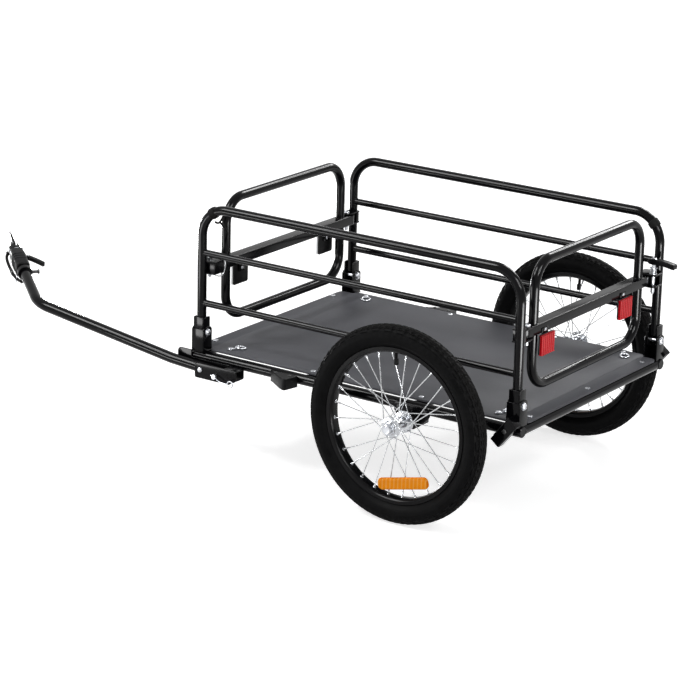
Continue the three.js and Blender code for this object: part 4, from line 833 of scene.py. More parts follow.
def gate_reflector(piece, y, tall, what):
    """Black tray, and a lens whose face is fluted from top to bottom: at y it stands out by
    0.6 |cos(pi y / 7)|, and its ends fall back over 2.2 mm."""
    back, low, half = BAR_HALF + 2.3, REFLECTOR_TOP - tall, REFLECTOR_HALF - 1.2
    tray = rectangle(y - REFLECTOR_HALF, y + REFLECTOR_HALF, low, REFLECTOR_TOP, 5, 8)
    piece.add("satin_plastic", plate(tray, "x", back, back + 3, 0.8))
    across = np.linspace(-half, half, 137)
    bulge = np.clip((half + 0.8 - np.abs(across)) / 2.2, 0, 1) ** 0.5
    face = np.stack([back + 5.9 + 1.4 * bulge + 0.6 * np.abs(np.cos(math.pi * across / 7)), y + across], -1)
    flutes = np.concatenate([[[back + 2.4, y - half - 0.1]], face, [[back + 2.4, y + half + 0.1]]])
    piece.add(what, plate(flutes[::-1], "z", low + 1.1, REFLECTOR_TOP - 1.1, 1.2, 4))


for end, matrix, what, hands, places, tall in (
    ("rear", np.eye(3), "red_lens", ("left", "right"), (-181.0, 120.0), 41),
    ("front", HALF_TURN, "clear_lens", ("right", "left"), (-172.0, 131.0), 54),
):
    body, seat = end + "_gate", matrix @ [GATE_X, 0, 0]
    tube = Piece(end + "_gate_tube", matrix, seat)
    gate_loop(tube)
    tube.make(body, end + "_gate_loop")
    bar = Piece(end + "_gate_crossbar", matrix, seat)
    gate_bar(bar, places, tall)
    bar.make(body, end + "_gate_bar")
    for hand, y in zip(hands, places):
        reflector = Piece(f"{end}_{hand}_gate_lens", matrix, seat)
        gate_reflector(reflector, y, tall, what)
        reflector.make(body, f"{end}_{hand}_reflector")
    pin = Piece(end + "_hinge_pin_and_nut", shift=matrix @ [PIN_X, -PIN_Y, 0])
    pin.add("zinc", rod((0, 0, 379.5), (0, 0, 418.3), PIN_R, 24, 0.8), bolt_head((0, 0, 418.1), Z, 7, 4, 32),
            hex_nut((0, 0, EARS[0][0] - 0.3), -Z, 7, 4))
    pin.make("bed", end + "_gate_hinge_pin")

# %% [markdown]
# ## Latches
# The rear gate's latch is a pin with a spring under its collar and a cam lever in its eye. The front one is a
# wire-lock pin: a round head crossed by a wire bow that snaps round the bar's end under the pin's tip.

# %% Rear latch
LATCH, LEVER_Z = np.array([KEEPER_X, PIN_Y, 0.0]), 444
COLLARS = (418.1, 429.6)
COIL_LOW, COIL_TALL, COIL_R, COIL_WIRE, COILS = 420.9, 7.4, 5.4, 0.8, 3
latch = Piece("rear_latch_plunger", shift=LATCH)
latch.add("zinc", turn([[1.2, 376], [2.2, 376.4], [3.8, 380], [3.8, 439.5], [3.2, 440.5]], steps=28),
          *[turn(collar(3.6, 8, low, low + 1.6, 0.4), steps=36) for low in COLLARS],
          turn(collar(1, 8, -2.5, 2.5, 0.6), (0, 0, LEVER_Z), Y, 36),
          rod((0, -6.7, LEVER_Z), (0, 6.7, LEVER_Z), 2.5, 20))
latch.make("rear_latch", "rear_latch_pin")

a = np.linspace(0, 2 * math.pi * COILS, 145)
spring = Piece("rear_latch_coil", shift=LATCH)
coil = np.stack([COIL_R * np.cos(a), COIL_R * np.sin(a), COIL_LOW + COIL_TALL * a / a[-1]], -1)
spring.add("zinc", sweep(coil, COIL_WIRE, Z, 12))
spring.make("rear_latch", "rear_latch_spring")


def lever_side(back, waist, tip, half, dip, radii):
    """Side view of a cam lever: from back it runs straight to the waist, and its grip then dips towards the
    tip. The three radii round its corners at the back, the waist and the tip."""
    r, s, t = radii
    return rounded([(back, -half, r), (waist, -half, s), (tip, -half - dip, t), (tip, half - dip, t),
                    (waist, half, s), (back, half, r)], 8)


lever = Piece("rear_latch_cam_lever", shift=LATCH + [0, 0, LEVER_Z])
side_view = lever_side(-11, 25, 50, 5.5, 4, (5.5, 6, 3.3))
lever.add("satin_plastic", *[plate(side_view, "y", s * 2.85, s * 7.0, 1.1, 4) for s in (-1, 1)])
grip = rounded([(8.3, -5.3, 1), (25, -5.3, 4), (49.6, -9.2, 3.5), (49.6, 1.2, 3.5), (25, 5.3, 4),
                (8.3, 5.3, 1)], 6)
lever.add("satin_plastic", plate(grip, "y", -3.2, 3.2, 0.3))
lever.add("zinc", *[bolt_head((0, s * 6.4, 0), s * Y, 2.6, 0.6, 20) for s in (-1, 1)])
lever.make("rear_latch_handle", "rear_latch_lever")

# %% Front latch
LOCK, BOW_Z = np.array([-KEEPER_X, -PIN_Y, 0.0]), 425
lock = Piece("front_wire_lock_pin", shift=LOCK)
lock.add("zinc", turn([[1.6, 376.4], [3.0, 377.0], [3.8, 378.6], [3.8, 423]], steps=28),
         turn([[3.6, 418.1], [5.8, 418.1], [6, 418.5], [6, 419.3], [5.6, 419.7], [3.6, 419.7]]),
         turn([[3.6, 421], [5.2, 421.1], [6, 422.2], [6, 427.6], [5.2, 428.8], [2.5, 429]]))
lock.make("bed", "front_latch_pin")

points = [(2.15, 0, 0), (8.6, 0, 0), (35.1, 0, -2.8), (39, 0, -21.6), (31.2, 0, -40.4), (8.6, 0, -43.2),
          (4.3, 0, -43.2)]
bow = Piece("front_latch_wire_bow", shift=LOCK + [0, 0, BOW_Z])
bow.add("spoke_metal", sweep(smooth_path(points, 60), 1.2, Y, 14))
bow.make("front_bow", "front_latch_bow")
print("bed, panels, gates and latches are in place")

# %% [markdown]
# ## Wheels
# A wheel is built in its own frame, its axle along Y with the outside at -Y, and the right one is turned
# half round. The tyre is a grid round the axle whose outline is raised into tread blocks: each block is a
# product of two rounded steps, one round the tyre and one across it. Blocks in neighbouring rows are
# staggered by half a pitch.

# %% Sizes of a wheel
CASING_R, LINING_R, BEAD_R = 22.5, 18.5, 152.9
CASING_CENTRE = WHEEL_R - CASING_R
RIM_IN, SPOKES, FLANGE, SPOKE_CIRCLE, SPOKE_R, CROSSING = 146.7, 28, 22.0, 19.0, 1.0, 2
SPOKE_OUT, SPOKE_IN, SPOKE_BEND, NIPPLE_LONG = 2.3, 1.9, 2.2, 11  # out and in are from a flange's middle
VALVE = math.radians(93)
# Degrees from the middle of the tread: the middle row's edge, where the side knobs start and end, the
# tread's edge and the sidewall's start. A lane is a row of blocks.
CENTRE_EDGE, KNOB_FROM, KNOB_TO, TREAD_EDGE, WALL_FROM, LANE = 9, 46, 58, 62, 90, 13.5
GROOVE, SHOULDER_GROOVE, WALL_RIDGE = 2.1, 0.5, 0.35


# %% Tyre
def steps_of(phase, share, soft):
    """1 over a share of each period and 0 over the rest, with soft sides: the sigmoid of a raised cosine."""
    return 1 / (1 + np.exp(-(np.cos(phase) - math.cos(math.pi * share)) / soft))


def tyre_surface(around=1008, blocks=84):
    """At angle t round the tyre and p across it, the casing's radius about the axle is
    177.5 + (22.5 - depth * (1 - block)) cos p, and its place along the axle has sin p in place of cos p."""
    t = around_once(around)[:, None]
    p = np.radians(np.concatenate([np.linspace(-150, -TREAD_EDGE, 16), np.linspace(-KNOB_TO, KNOB_TO, 40),
                                   np.linspace(TREAD_EDGE, 150, 16)]))[None, :]
    across = np.degrees(p)
    off, hand = np.abs(across), np.sign(across)
    # After each phase stand the share of its period that is rubber and the softness of the sides.
    row = np.floor((off + LANE / 3) / LANE)
    middle = steps_of(across * math.pi / CENTRE_EDGE, 0.78, 0.16) * steps_of(blocks * t, 0.86, 0.15)
    lanes = steps_of((off - 20.0) / LANE * 2 * math.pi, 0.76, 0.16)
    pitch = steps_of(blocks * t + row * math.pi + hand * 0.35 * row, 0.68, 0.2)
    knob = steps_of(blocks / 2 * t + hand * 0.6, 0.6, 0.2) * (off < KNOB_TO)
    block = np.where(off > KNOB_FROM, knob, np.where(off < CENTRE_EDGE, middle, lanes * pitch))
    groove = GROOVE * np.clip((TREAD_EDGE - off) / 6, 0, 1) * (1 - block)
    shoulder = np.clip((off - TREAD_EDGE) / 5, 0, 1) * np.clip((84 - off) / 8, 0, 1)
    groove = groove + shoulder * SHOULDER_GROOVE * (1 - steps_of(blocks * t, 0.5, 0.3))
    groove = groove + np.clip((off - WALL_FROM) / 6, 0, 1) * WALL_RIDGE * (0.5 + 0.5 * np.cos(across * 0.9))
    radius = CASING_R - groove
    return t, CASING_CENTRE + radius * np.cos(p), radius * np.sin(p)


def tyre(piece):
    """The tread and sidewalls, then the beads and the lining, as one closed grid."""
    t, outer, across = tyre_surface()
    lining = np.radians(np.linspace(150, -150, 14))
    inner = np.stack([CASING_CENTRE + LINING_R * np.cos(lining), LINING_R * np.sin(lining)], -1)
    inner = np.concatenate([[[BEAD_R, 11.25], [BEAD_R, 7.25]], inner, [[BEAD_R, -7.25], [BEAD_R, -11.25]]])
    radii, place = (np.concatenate([tread, np.broadcast_to(inner[:, k], (len(t), len(inner)))], 1)
                    for k, tread in enumerate((outer, across)))
    rings = np.stack([radii * np.cos(t), place, radii * np.sin(t)], -1)
    piece.add("tyre_rubber", (rings.reshape(-1, 3), ring_faces(rings, loop=True)))


# %% Rim, hub and spokes
def wheel_way(angle):
    """The direction at an angle in the wheel's plane."""
    return np.array([math.cos(angle), 0, math.sin(angle)])


def rim(piece):
    """Double-walled section with hooked edges, an eyelet for each nipple, and the valve's stem and cap."""
    half = [(RIM_IN, -9.6), (148.6, -12.6), (150.3, -14.0), (157.4, -14.0), (158.0, -13.4), (158.0, -12.4),
            (157.2, -11.6), (155.4, -11.8), (152.6, -11.2), (152.5, -6.0), (150.6, -3.5)]
    section = mirrored(half) + [(146.2, 5.0), (146.0, 0.0), (146.2, -5.0)]
    piece.add("rim_coat", turn(section, ORIGIN, Y, 180, loop=True))
    for k in range(SPOKES):
        out = wheel_way(2 * math.pi * (k + 0.5) / SPOKES)
        lean = 1 if (k // 2) % 2 == 0 else -1
        piece.add("hub_metal", turn([[1.4, 0], [3.1, 0], [3.4, 0.5], [3.0, 1.1], [1.4, 1.3]],
                                    out * (RIM_IN - 0.2) + [0, lean, 0], -out, 20))
    out = wheel_way(VALVE)
    stem = [[2.6, 0], [4.2, 0], [4.2, 1.2], [3.0, 2.4], [3.0, 14.5], [2.4, 15], [2.4, 17]]
    cap = [[2.0, 0], [4.4, 0.4], [4.8, 1.4], [4.6, 11.4], [3.8, 13.0], [0.8, 13.6]]
    piece.add("strap_rubber", turn(stem, out * 147.2, -out, 24))
    piece.add("satin_plastic", turn(cap, out * 133.0, -out, 20))


def hub_and_spokes(piece):
    """Hub shell turned with fillets, two drilled flanges, and 28 spokes laced two cross. Spoke k leaves its
    flange at its rim angle plus or minus two pitches of the flange, on the outer or the inner face in
    turn."""
    flange = [(13, -25.4), (14.2, -24), (20.6, -23.5), (21.8, -22.9), (22, -22), (21.8, -21.1), (20.6, -20.5),
              (14, -20.3), (11, -18.8), (9.8, -15.5), (9.5, -9)]
    shell = ([(6.4, -32), (11.5, -32), (12.6, -31.3), (13, -30.2)] + mirrored(flange, [(9.4, 0)])
             + [(13, 28.4), (12.6, 29.4), (11.5, 30), (6.4, 30)])
    piece.add("hub_metal", turn(shell, ORIGIN, Y, 64, loop=True))
    cap = [[6.4, -32.2], [9.6, -32.2], [9.9, -31.8], [9.9, -31], [6.4, -31]]
    piece.add("black_bolt", turn(cap, ORIGIN, Y, 40))
    tip = RIM_IN * math.cos(math.pi / 32) - 0.6
    nipple = [[1.0, 0], [1.7, 0.5], [1.75, 6.5], [2.1, 7.5], [2.1, 10.6], [1.2, 10.8]]
    for k in range(SPOKES):
        side = -FLANGE if k % 2 == 0 else FLANGE
        lean = 1 if (k // 2) % 2 == 0 else -1
        at_rim = 2 * math.pi * (k + 0.5) / SPOKES
        hole = SPOKE_CIRCLE * wheel_way(at_rim + lean * CROSSING * 2 * math.pi / (SPOKES / 2))
        start = hole + [0, side + lean * SPOKE_OUT, 0]
        end = tip * wheel_way(at_rim) + [0, lean, 0]
        along = (end - start) / np.linalg.norm(end - start)
        path = arc_bends([hole + [0, side - lean * SPOKE_IN, 0], start, end - along * 9], [SPOKE_BEND], 5)
        piece.add("spoke_metal", sweep(path, SPOKE_R, np.cross(along, Y), 8),
                  bolt_head(hole + [0, side - lean * 1.5, 0], -lean * Y, 2.0, 1.1, 14),
                  turn(nipple, end - along * NIPPLE_LONG, along, 12))


# %% Spoke reflector
AMBER_R, AMBER_ANGLE, AMBER_LONG, AMBER_TALL, AMBER_DEEP = 114.0, math.radians(-77), 59, 12, 7
SPOKE_LONG = RIM_IN - SPOKE_CIRCLE
# The outer spokes come in from the flange to the rim's middle; the reflector's inner edge just clears them.
AMBER_BACK = -FLANGE * (1 - (AMBER_R - SPOKE_CIRCLE) / SPOKE_LONG + AMBER_TALL / SPOKE_LONG) - 2 * SPOKE_R - 0.3


def spoke_reflector(piece):
    """Long amber lens with round corners: a base against the outer spokes, and a raised face 1.2 mm smaller."""
    def pane(shrink, r):
        long, tall = AMBER_LONG - shrink, AMBER_TALL - shrink
        return rectangle(-long, long, -tall, tall, r, 12)

    matrix, out = turned_about(Y, -(AMBER_ANGLE + math.pi / 2)), AMBER_R * wheel_way(AMBER_ANGLE)
    piece.add("amber_lens", placed(plate(pane(0, 10), "y", AMBER_BACK - 4.2, AMBER_BACK, 0.8), matrix, out),
              placed(plate(pane(1.2, 9), "y", AMBER_BACK - AMBER_DEEP, AMBER_BACK - 3.8, 1.8, 5), matrix, out))


# %% Both wheels
INWARD = {"left": np.eye(3), "right": HALF_TURN}
for hand, side in HANDS:
    for build, label, slot, node_name in (
        (tyre, "treaded_tyre", "tyre_rubber", "tyre"),
        (rim, "hooked_rim", "rim_paint", "rim"),
        (hub_and_spokes, "laced_hub", "bright_wire", "hub_and_spokes"),
        (spoke_reflector, "spoke_lens", "amber_lens", "spoke_reflector"),
    ):
        piece = Piece(f"{hand}_{label}", INWARD[hand], (WHEEL_X, side * WHEEL_Y, WHEEL_R))
        build(piece)
        piece.make(hand + "_wheel", f"{hand}_wheel_{node_name}")
    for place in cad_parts[f"{hand}_wheel_inner_tube"].material_slots:
        place.material = FINISH["strap_rubber"]

# %% [markdown]
# ## Axles and their receivers
# Each wheel comes off with a push-button axle. It goes through the hub into a block under the side tube,
# whose cheek plate is bolted up the tube's outer face.

# %% Axles and receivers
BUTTON = [[1, -40.3], [4.8, -40.2], [5.4, -39.6], [5.4, -38], [1, -38]]
AXLE_HEAD = [[5.8, -40.0], [8.2, -40.3], [9.6, -39.2], [10, -37.6], [10, -33.4], [9.4, -32.3], [5.8, -32.3]]
CHEEK_Y, CHEEK_THICK, CHEEK_BOLTS = WHEEL_Y - SIDE_FACE, 3, (-30.0, 30.0)
for hand, side in HANDS:
    wheel_frame = INWARD[hand], (WHEEL_X, side * WHEEL_Y, WHEEL_R)
    axle = Piece(hand + "_quick_axle", *wheel_frame)
    axle.add("zinc", turn(AXLE_HEAD, ORIGIN, Y, 40), turn(BUTTON, ORIGIN, Y),
             turn([[5.4, -33], [6, -32.4], [6, 86.6], [5.2, 87.9]], ORIGIN, Y))
    axle.make("bed", hand + "_axle")

    receiver = Piece(hand + "_axle_socket", *wheel_frame)
    shape = rounded([(-16, -16, 2), (16, -16, 2), (42, 8.2, 8), (42, 27, 8), (-42, 27, 8), (-42, 8.2, 8)], 6)
    receiver.add("powder_coat", block(-16, 16, 33, 88, -16, 8.2, 1.6),
                 plate(shape, "y", CHEEK_Y - CHEEK_THICK, CHEEK_Y, 0.8),
                 turn([[6.2, 32.2], [11, 32.2], [11.6, 32.8], [11.6, 35], [6.2, 35]], ORIGIN, Y, 36),
                 turn([[6.2, 86], [11, 86], [11, 87.6], [6.2, 87.6]], ORIGIN, Y, 36))
    for x in CHEEK_BOLTS:
        receiver.add("black_bolt", bolt_head((x, CHEEK_Y - CHEEK_THICK, 18), -Y, 4.6, 2.6, 26))
    receiver.make("bed", hand + "_axle_receiver")

# %% [markdown]
# ## Guards, feet and lashing rings
# A moulded block ahead of each wheel keeps things off it. At the rear corners two box-section feet lean
# down, on which the trailer can be stood. A ring in a screwed tab lies at each corner of the deck.

# %% Guards and feet
GUARD_FRONT, GUARD_BACK, GUARD_LOW, GUARD_TOP, GUARD_BOLTS = -191, -124, 205, 229, (-172.0, -138.0)
FOOT_AT, FOOT_LEAN, FOOT_WIDE, FOOT_HALF = (368, 0, 221.5), math.radians(51), 20, 12.5
for hand, side in HANDS:
    near = side * SIDE_FACE
    guard = Piece(hand + "_moulded_guard")
    shape = rounded([(GUARD_FRONT, near, 1), (-148, side * 312, 8), (-132, side * 320, 8),
                     (GUARD_BACK, near, 1)], 8)
    guard.add("satin_plastic", plate(shape, "z", GUARD_LOW, GUARD_TOP, 2.2, 5))
    for x in GUARD_BOLTS:
        guard.add("black_bolt", bolt_head((x, near + side * 9, GUARD_TOP - 0.2), Z, 3.6, 1.4, 22))
    guard.make("bed", hand + "_wheel_guard")

    far = near + side * FOOT_WIDE
    foot = Piece(hand + "_leaning_foot", turned_about(Y, -FOOT_LEAN), FOOT_AT)
    foot.add("powder_coat", plate(rectangle(near, far, -FOOT_HALF, FOOT_HALF, 3, 6), "x", -29.5, 31, 0.6))
    foot.add("end_plug", plate(rectangle(near, far, -FOOT_HALF, FOOT_HALF, 4, 6), "x", -31, -27, 1.2))
    foot.add("black_bolt", bolt_head((4, far - side * 0.1, 0), side * Y, 4.6, 2.4, 26))
    foot.make("bed", hand + "_rear_foot")

# %% Lashing rings
RING_X, RING_Y, RING_TURN = 320.0, 243.0, math.radians(35)
RING_RADIUS, WIRE, TAB_END = 8.9, 1.6, 13
HEIGHT = WIRE + 0.6 + 1.2 + 0.3  # of the tab's barrel, which holds the wire with a little room, over the deck
DROOP = turned_about(X, -math.asin((HEIGHT - WIRE - 0.3) / (2 * RING_RADIUS)))
TAB = rounded([(-6.5, -6.5, 6.5), (6.5, -6.5, 6.5), (2.17, TAB_END), (-2.17, TAB_END)], 10)
for end, along in ENDS:
    for hand, side in HANDS:
        matrix = turned_about(Z, -RING_TURN if side < 0 else math.pi + RING_TURN)
        corner_frame = matrix, (along * RING_X, side * RING_Y, DECK_TOP)
        tab = Piece(f"{end}_{hand}_ring_tab", *corner_frame)
        tab.add("zinc", plate(TAB, "z", 0.1, 2.6), bolt_head((0, 0, 2.5), Z, 5.5, 2.5, 30),
                turn(collar(2.2, 3.4, -2.1, 2.1, 0.3), (0, TAB_END, HEIGHT), X, 28, loop=True))
        tab.make("bed", f"{end}_{hand}_lashing_ring_tab")
        ring = sweep(circle((0, RING_RADIUS, 0), RING_RADIUS, -Y, X), WIRE, Z, 14, loop=True)
        eye = Piece(f"{end}_{hand}_ring", *corner_frame)
        eye.add("zinc", placed(ring, DROOP, (0, TAB_END, HEIGHT)))
        eye.make(f"{end}_{hand}_ring", f"{end}_{hand}_lashing_ring")
print("wheels, axles, guards, feet and rings are in place")

# %% [markdown]
# ## Drawbar and hitch bracket
# The drawbar turns on a bolt between the two plates of a bracket beside the left side tube. A pin with a
# wire ring goes through the outer plate and stops it. Its second bend lies in the slanted plane towards the
# bicycle's axle.

# %% Hitch bracket and its bolts
DRAW_Y, PIVOT, LOCK_AT = -296.0, (-347.0, 204.0), (-309.0, 197.0)
PLATE_OUT, PLATE_IN, STEP_Z = (-310.2, -307.4), (-284.8, -282.0), 217
bracket = Piece("hitch_bracket_plates")
back = [(-275, 185.5, 3), (-257, 195.5, 3), (-257, STEP_Z, 1)]
inner = [(-389, STEP_Z, 0), (-389, 232, 2), (-424, 232, 8), (-424, 196, 8), (-361, 185.5, 5)]
bracket.add("powder_coat", plate(rounded([(-361, STEP_Z, 1), (-361, 185.5, 4)] + back), "y", *PLATE_OUT, 0.8),
            plate(rounded(inner + back), "y", *PLATE_IN, 0.8),
            block(-289, -257.3, PLATE_OUT[0] + 0.3, PLATE_IN[1] - 0.3, STEP_Z - 3, STEP_Z, 0.8))
for y in (PLATE_OUT[1] + 0.2, PLATE_IN[0] - 0.2):
    bracket.add("weld_coat", straight_weld((-287, y, STEP_Z - 3), (-259, y, STEP_Z - 3), 1.3, 0.18, 1.4))
bracket.make("bed", "hitch_bracket")

x, z = PIVOT
bolt = Piece("drawbar_bolt_and_nut", shift=(x, 0, z))
bolt.add("zinc", rod((0, -310.5, 0), (0, -281.6, 0), 5, 28), bolt_head((0, -310.5, 0), -Y, 5.4, 4.4, 32),
         hex_nut((0, -281.7, 0), Y, 6.5, 3.5))
bolt.make("bed", "drawbar_pivot_bolt")

x, z = LOCK_AT
HEAD_Y, PULL_Y, PULL_R, PULL_WIRE = -310.5, -317.5, 6.5, 1.2
stem = smooth_path([(-5.5, PULL_Y, 3.25), (5.5, PULL_Y, 0), (17.5, PULL_Y, -6.5), (37, PULL_Y, -6.5)], 40)
pin = Piece("lock_pin_with_ring", shift=(x, 0, z))
pin.add("zinc", rod((0, HEAD_Y - 3, 0), (0, -300.6, 0), 3.5, 24, 0.9),
        turn([[3, 0], [5, 0], [5.5, 0.5], [5.5, 5.2], [4.8, 6], [3, 6]], (0, HEAD_Y, 0), -Y),
        sweep(stem, PULL_WIRE, Y, 12),
        sweep(circle((37 + PULL_R, PULL_Y, -6.5), PULL_R, X, Z), PULL_WIRE, Y, 12, loop=True))
pin.make("lock_pin", "drawbar_lock_pin")

# %% Drawbar
DRAWBAR_R, TUBE_AFTER_ELBOW, BENDS = 11.1, 213.7, (260, 85)
TUBE_END = (-297, DRAW_Y, 200.5)
ELBOW = np.array([-789.5, DRAW_Y, 258.0])
ALONG = np.array([-1025.2, -116.0, 322.1]) - ELBOW
EYE_AT = np.linalg.norm(ALONG)
ALONG /= EYE_AT
UPRIGHT = Z - ALONG * ALONG[2]
UPRIGHT /= np.linalg.norm(UPRIGHT)
COUPLER = np.stack([ALONG, np.cross(UPRIGHT, ALONG), UPRIGHT], 1)
path = arc_bends([TUBE_END, (-430, DRAW_Y, 208.5), ELBOW, ELBOW + ALONG * TUBE_AFTER_ELBOW], BENDS, 24)
drawbar = Piece("bent_drawbar")
drawbar.add("powder_coat", sweep(path, DRAWBAR_R, np.array([0.2, -0.3, 1.0]), 40))
drawbar.add("end_plug", bolt_head(TUBE_END - 0.2 * X, X, 9.8, 1.0))
drawbar.make("drawbar_arm", "drawbar")

# %% [markdown]
# ## Coupler
# The sleeve turns on the drawbar's end. In its own frame X runs along the bar to the bicycle, Z up. A
# ribbed boot covers it, with a zinc collar at the boot's front end. A fork in its front end holds the flat
# plate that bolts to the bicycle's axle; the plate's eye is a turned ring let into a neck that is cut to
# its curve. A short strap runs back from the fork as a second hold.

# %% Coupler sleeve
SLEEVE_R, GROOVES, RIBS = 14, (152, 158, 164), (176.0, 186.0, 196.0)
FORK_R, FORK_SLOT, FORK_PIN = 13.9, 2.8, 240
BOOT, RIB, BOOT_ROUND, BOOT_FROM, BOOT_TO = (-13.9, 15.5, -17.5, 17.5), (-14.1, 16.2, -18.2, 18.2), 8, 150, 223
LEVER_AT = (205, -21, 0)
sleeve = Piece("coupler_swivel_sleeve", COUPLER, ELBOW)
barrel = [(11.2, 132), (15.2, 132), (16, 132.8), (16, 143.2), (15.2, 144), (14.2, 144.2), (SLEEVE_R, 145)]
for x in GROOVES:
    barrel += [(SLEEVE_R, x - 1.4), (13.2, x - 0.9), (13.2, x + 0.9), (SLEEVE_R, x + 1.4)]
barrel += [(SLEEVE_R, 228.6), (13.4, 229.2), (4, 229.2)]
sleeve.add("powder_coat", turn(barrel, ORIGIN, X, 48))
half = math.acos(FORK_SLOT / FORK_R)
a = np.linspace(-half, half, 30)
for s in (-1, 1):
    prong = np.stack([s * FORK_R * np.cos(a), FORK_R * np.sin(a)], -1)[::s]
    sleeve.add("powder_coat", plate(prong, "x", 228.0, 250.0, 1.2, 4))
    sleeve.add("zinc", bolt_head((FORK_PIN, s * 13.0, 0), s * Y, 4.4, 2.0, 26))
sleeve.add("zinc", rod((FORK_PIN, -13.5, 0), (FORK_PIN, 13.5, 0), 3, 20))
sleeve.add("satin_plastic", plate(rectangle(*BOOT, BOOT_ROUND, 10), "x", BOOT_FROM, BOOT_TO, 3, 5))
for x in RIBS:
    sleeve.add("satin_plastic", plate(rectangle(*RIB, BOOT_ROUND, 10), "x", x - 1.6, x + 1.6, 0.6))
sleeve.add("zinc", turn([(13, BOOT_TO), (14.9, 223.3), (14.9, 227.6), (13, 228)], ORIGIN, X, 48))
sleeve.add("powder_coat", block(201.5, 208.5, -23, -12.6, -2, 2))
x, y, _ = LEVER_AT
sleeve.add("zinc", rod((x, y, -4.9), (x, y, 4.9), 2, 20))
peg = [[3.4, 12.6], [3.6, 13.4], [3.2, 27], [4.6, 28.4], [5.2, 30], [4.6, 31.6], [2.6, 32]]
sleeve.add("black_bolt", turn(peg, (138, 0, 0), -Y, 28))
sleeve.make("coupler", "coupler_sleeve")

# %% Coupler lever
lever = Piece("coupler_cam_lever", COUPLER, ELBOW)
swing = turned_about(Z, math.pi + math.radians(39))
side_view, grip = (lever_side(back, 27.6, 46, 4, 2, (r, 5, 2.4)) for back, r in ((-4, 3.9), (7.4, 0.6)))
cheeks = [plate(side_view, "z", s * 2.35, s * 4.5, 0.8, 4) for s in (-1, 1)]
for surface in cheeks + [plate(grip, "z", -3.4, 3.4, 0.4)]:
    lever.add("satin_plastic", placed(surface, swing, LEVER_AT))
lever.make("coupler_handle", "coupler_lever")

# %% Hitch plate
hitch = Piece("hitch_plate_with_eye", COUPLER, ELBOW)
ring = mirrored([(6.0, -2.1), (6.4, -2.5), (12.4, -2.5), (13, -1.9)])
hitch.add("powder_coat", turn(ring, (EYE_AT, 0, 0), Y, 72, loop=True))
bend = np.linspace(-math.pi / 2, -3 * math.pi / 2, 24)
notch = [(EYE_AT + 9.6 * math.cos(t), 9.6 * math.sin(t)) for t in bend]
neck = rounded([(229.5, 10.5, 10.2), (229.5, -10.5, 10.2), (249.5, -10.5, 4), (256, -13, 4), (EYE_AT, -13)]
               + notch + [(EYE_AT, 13), (256, 13, 4), (249.5, 10.5, 4)], 6)
hitch.add("powder_coat", plate(neck, "y", -2.5, 2.5))
hitch.make("bicycle_plate", "hitch_plate")

# %% Safety strap
STRAP_R, STUD = 3.2, [[2, -2.2], [4.3, -2.2], [4.6, -1.6], [4.6, 1.8], [4.0, 2.6], [2, 2.6]]
points = [(246.8, 14.9, -9.6), (237.2, 19.25, -14), (179, 20.1, -17.5), (140.75, 17.5, -14),
          (114.5, 12.25, -8.75)]
strap = Piece("coupler_safety_strap", COUPLER, ELBOW)
strap.add("strap_rubber", sweep(smooth_path(points, 60), STRAP_R, Y, 20),
          *[turn(STUD, place, (0.2, -1, 0.6), 24) for place in (points[0], points[-1])])
strap.add("zinc", sweep(circle((141, 17.6, -14), 7.5, X, Z), 1.3, Y, 12, loop=True))
clasp = plate(rectangle(-13, 13, -5, 5, 3, 6), "y", -2.2, 2.2, 1, 4)
strap.add("satin_plastic", placed(clasp, turned_about(Y, math.radians(4)), (176, 20.2, -17.4)))
strap.make("coupler", "safety_strap")

# %% [markdown]
# ## Ties
# A rubber band goes round one upper bend of each hoop. The front one ends in a loop and a tail on the bed's
# side.

# %% Ties
BAND_HALF, BAND_STEPS, BAND_R, BAND_LIP, BAND_RIB, TIE_R = 7.5, 25, 9.7, 2.1, 0.25, 2.1


def bend_band(end, side, angle):
    """A band on the hoop's bend, centred at an angle up it, whose lips taper down to the tube: over five
    steps its height rises as a quarter circle does. Every sixth step is a shallow groove."""
    t = np.radians(angle) + np.linspace(-BAND_HALF, BAND_HALF, BAND_STEPS) / HOOP_BEND
    path = np.stack([end * (POST_X - HOOP_BEND + HOOP_BEND * np.cos(t)), np.full(BAND_STEPS, side * POST_Y),
                     HOOP_TOP - HOOP_BEND + HOOP_BEND * np.sin(t)], -1)
    step = np.arange(BAND_STEPS)
    lip = np.clip(np.minimum(step, step[::-1]) / 5, 0, 1)
    return sweep(path, BAND_R + BAND_LIP * np.sqrt(1 - (1 - lip) ** 2) - BAND_RIB * (step % 6 == 0), Y, 36)


tie = Piece("rear_right_band")
tie.add("strap_rubber", bend_band(1, 1, 42))
tie.make("bed", "rear_right_tie")
tie = Piece("front_left_band_and_loop")
tie.add("strap_rubber", bend_band(-1, -1, 58))
x, y, top = -POST_X + 24, -POST_Y + 11.3, HOOP_TOP - 12
loop = [(x, y, top), (x, y + 14.5, top + 6), (x, y + 29, top - 3), (x, y + 14.5, top - 22), (x, y, top - 19)]
tail = [(x, y + 14.5, top - 22), (x + 1.5, y + 26.5, top - 34), (x + 1.5, y + 38.5, top - 49)]
for line, count in ((loop, 48), (tail, 24)):
    tie.add("strap_rubber", sweep(smooth_path(line, count), TIE_R, X, 14))
tie.make("bed", "front_left_tie")

# %% [markdown]
# ## Floor and light
# The floor is pale and keeps the shadow. What the camera and reflections see of it and of the world is
# white, while the light that reaches the trailer stays at the level at which a colour renders about as it
# is written.

# %% Floor and world
FLOOR_GREY, FLOOR_LIFT, FLOOR_HALF = 0.8, 0.72, 40.0
WORLD_LIGHT, WORLD_SEEN = 0.5, 1.0


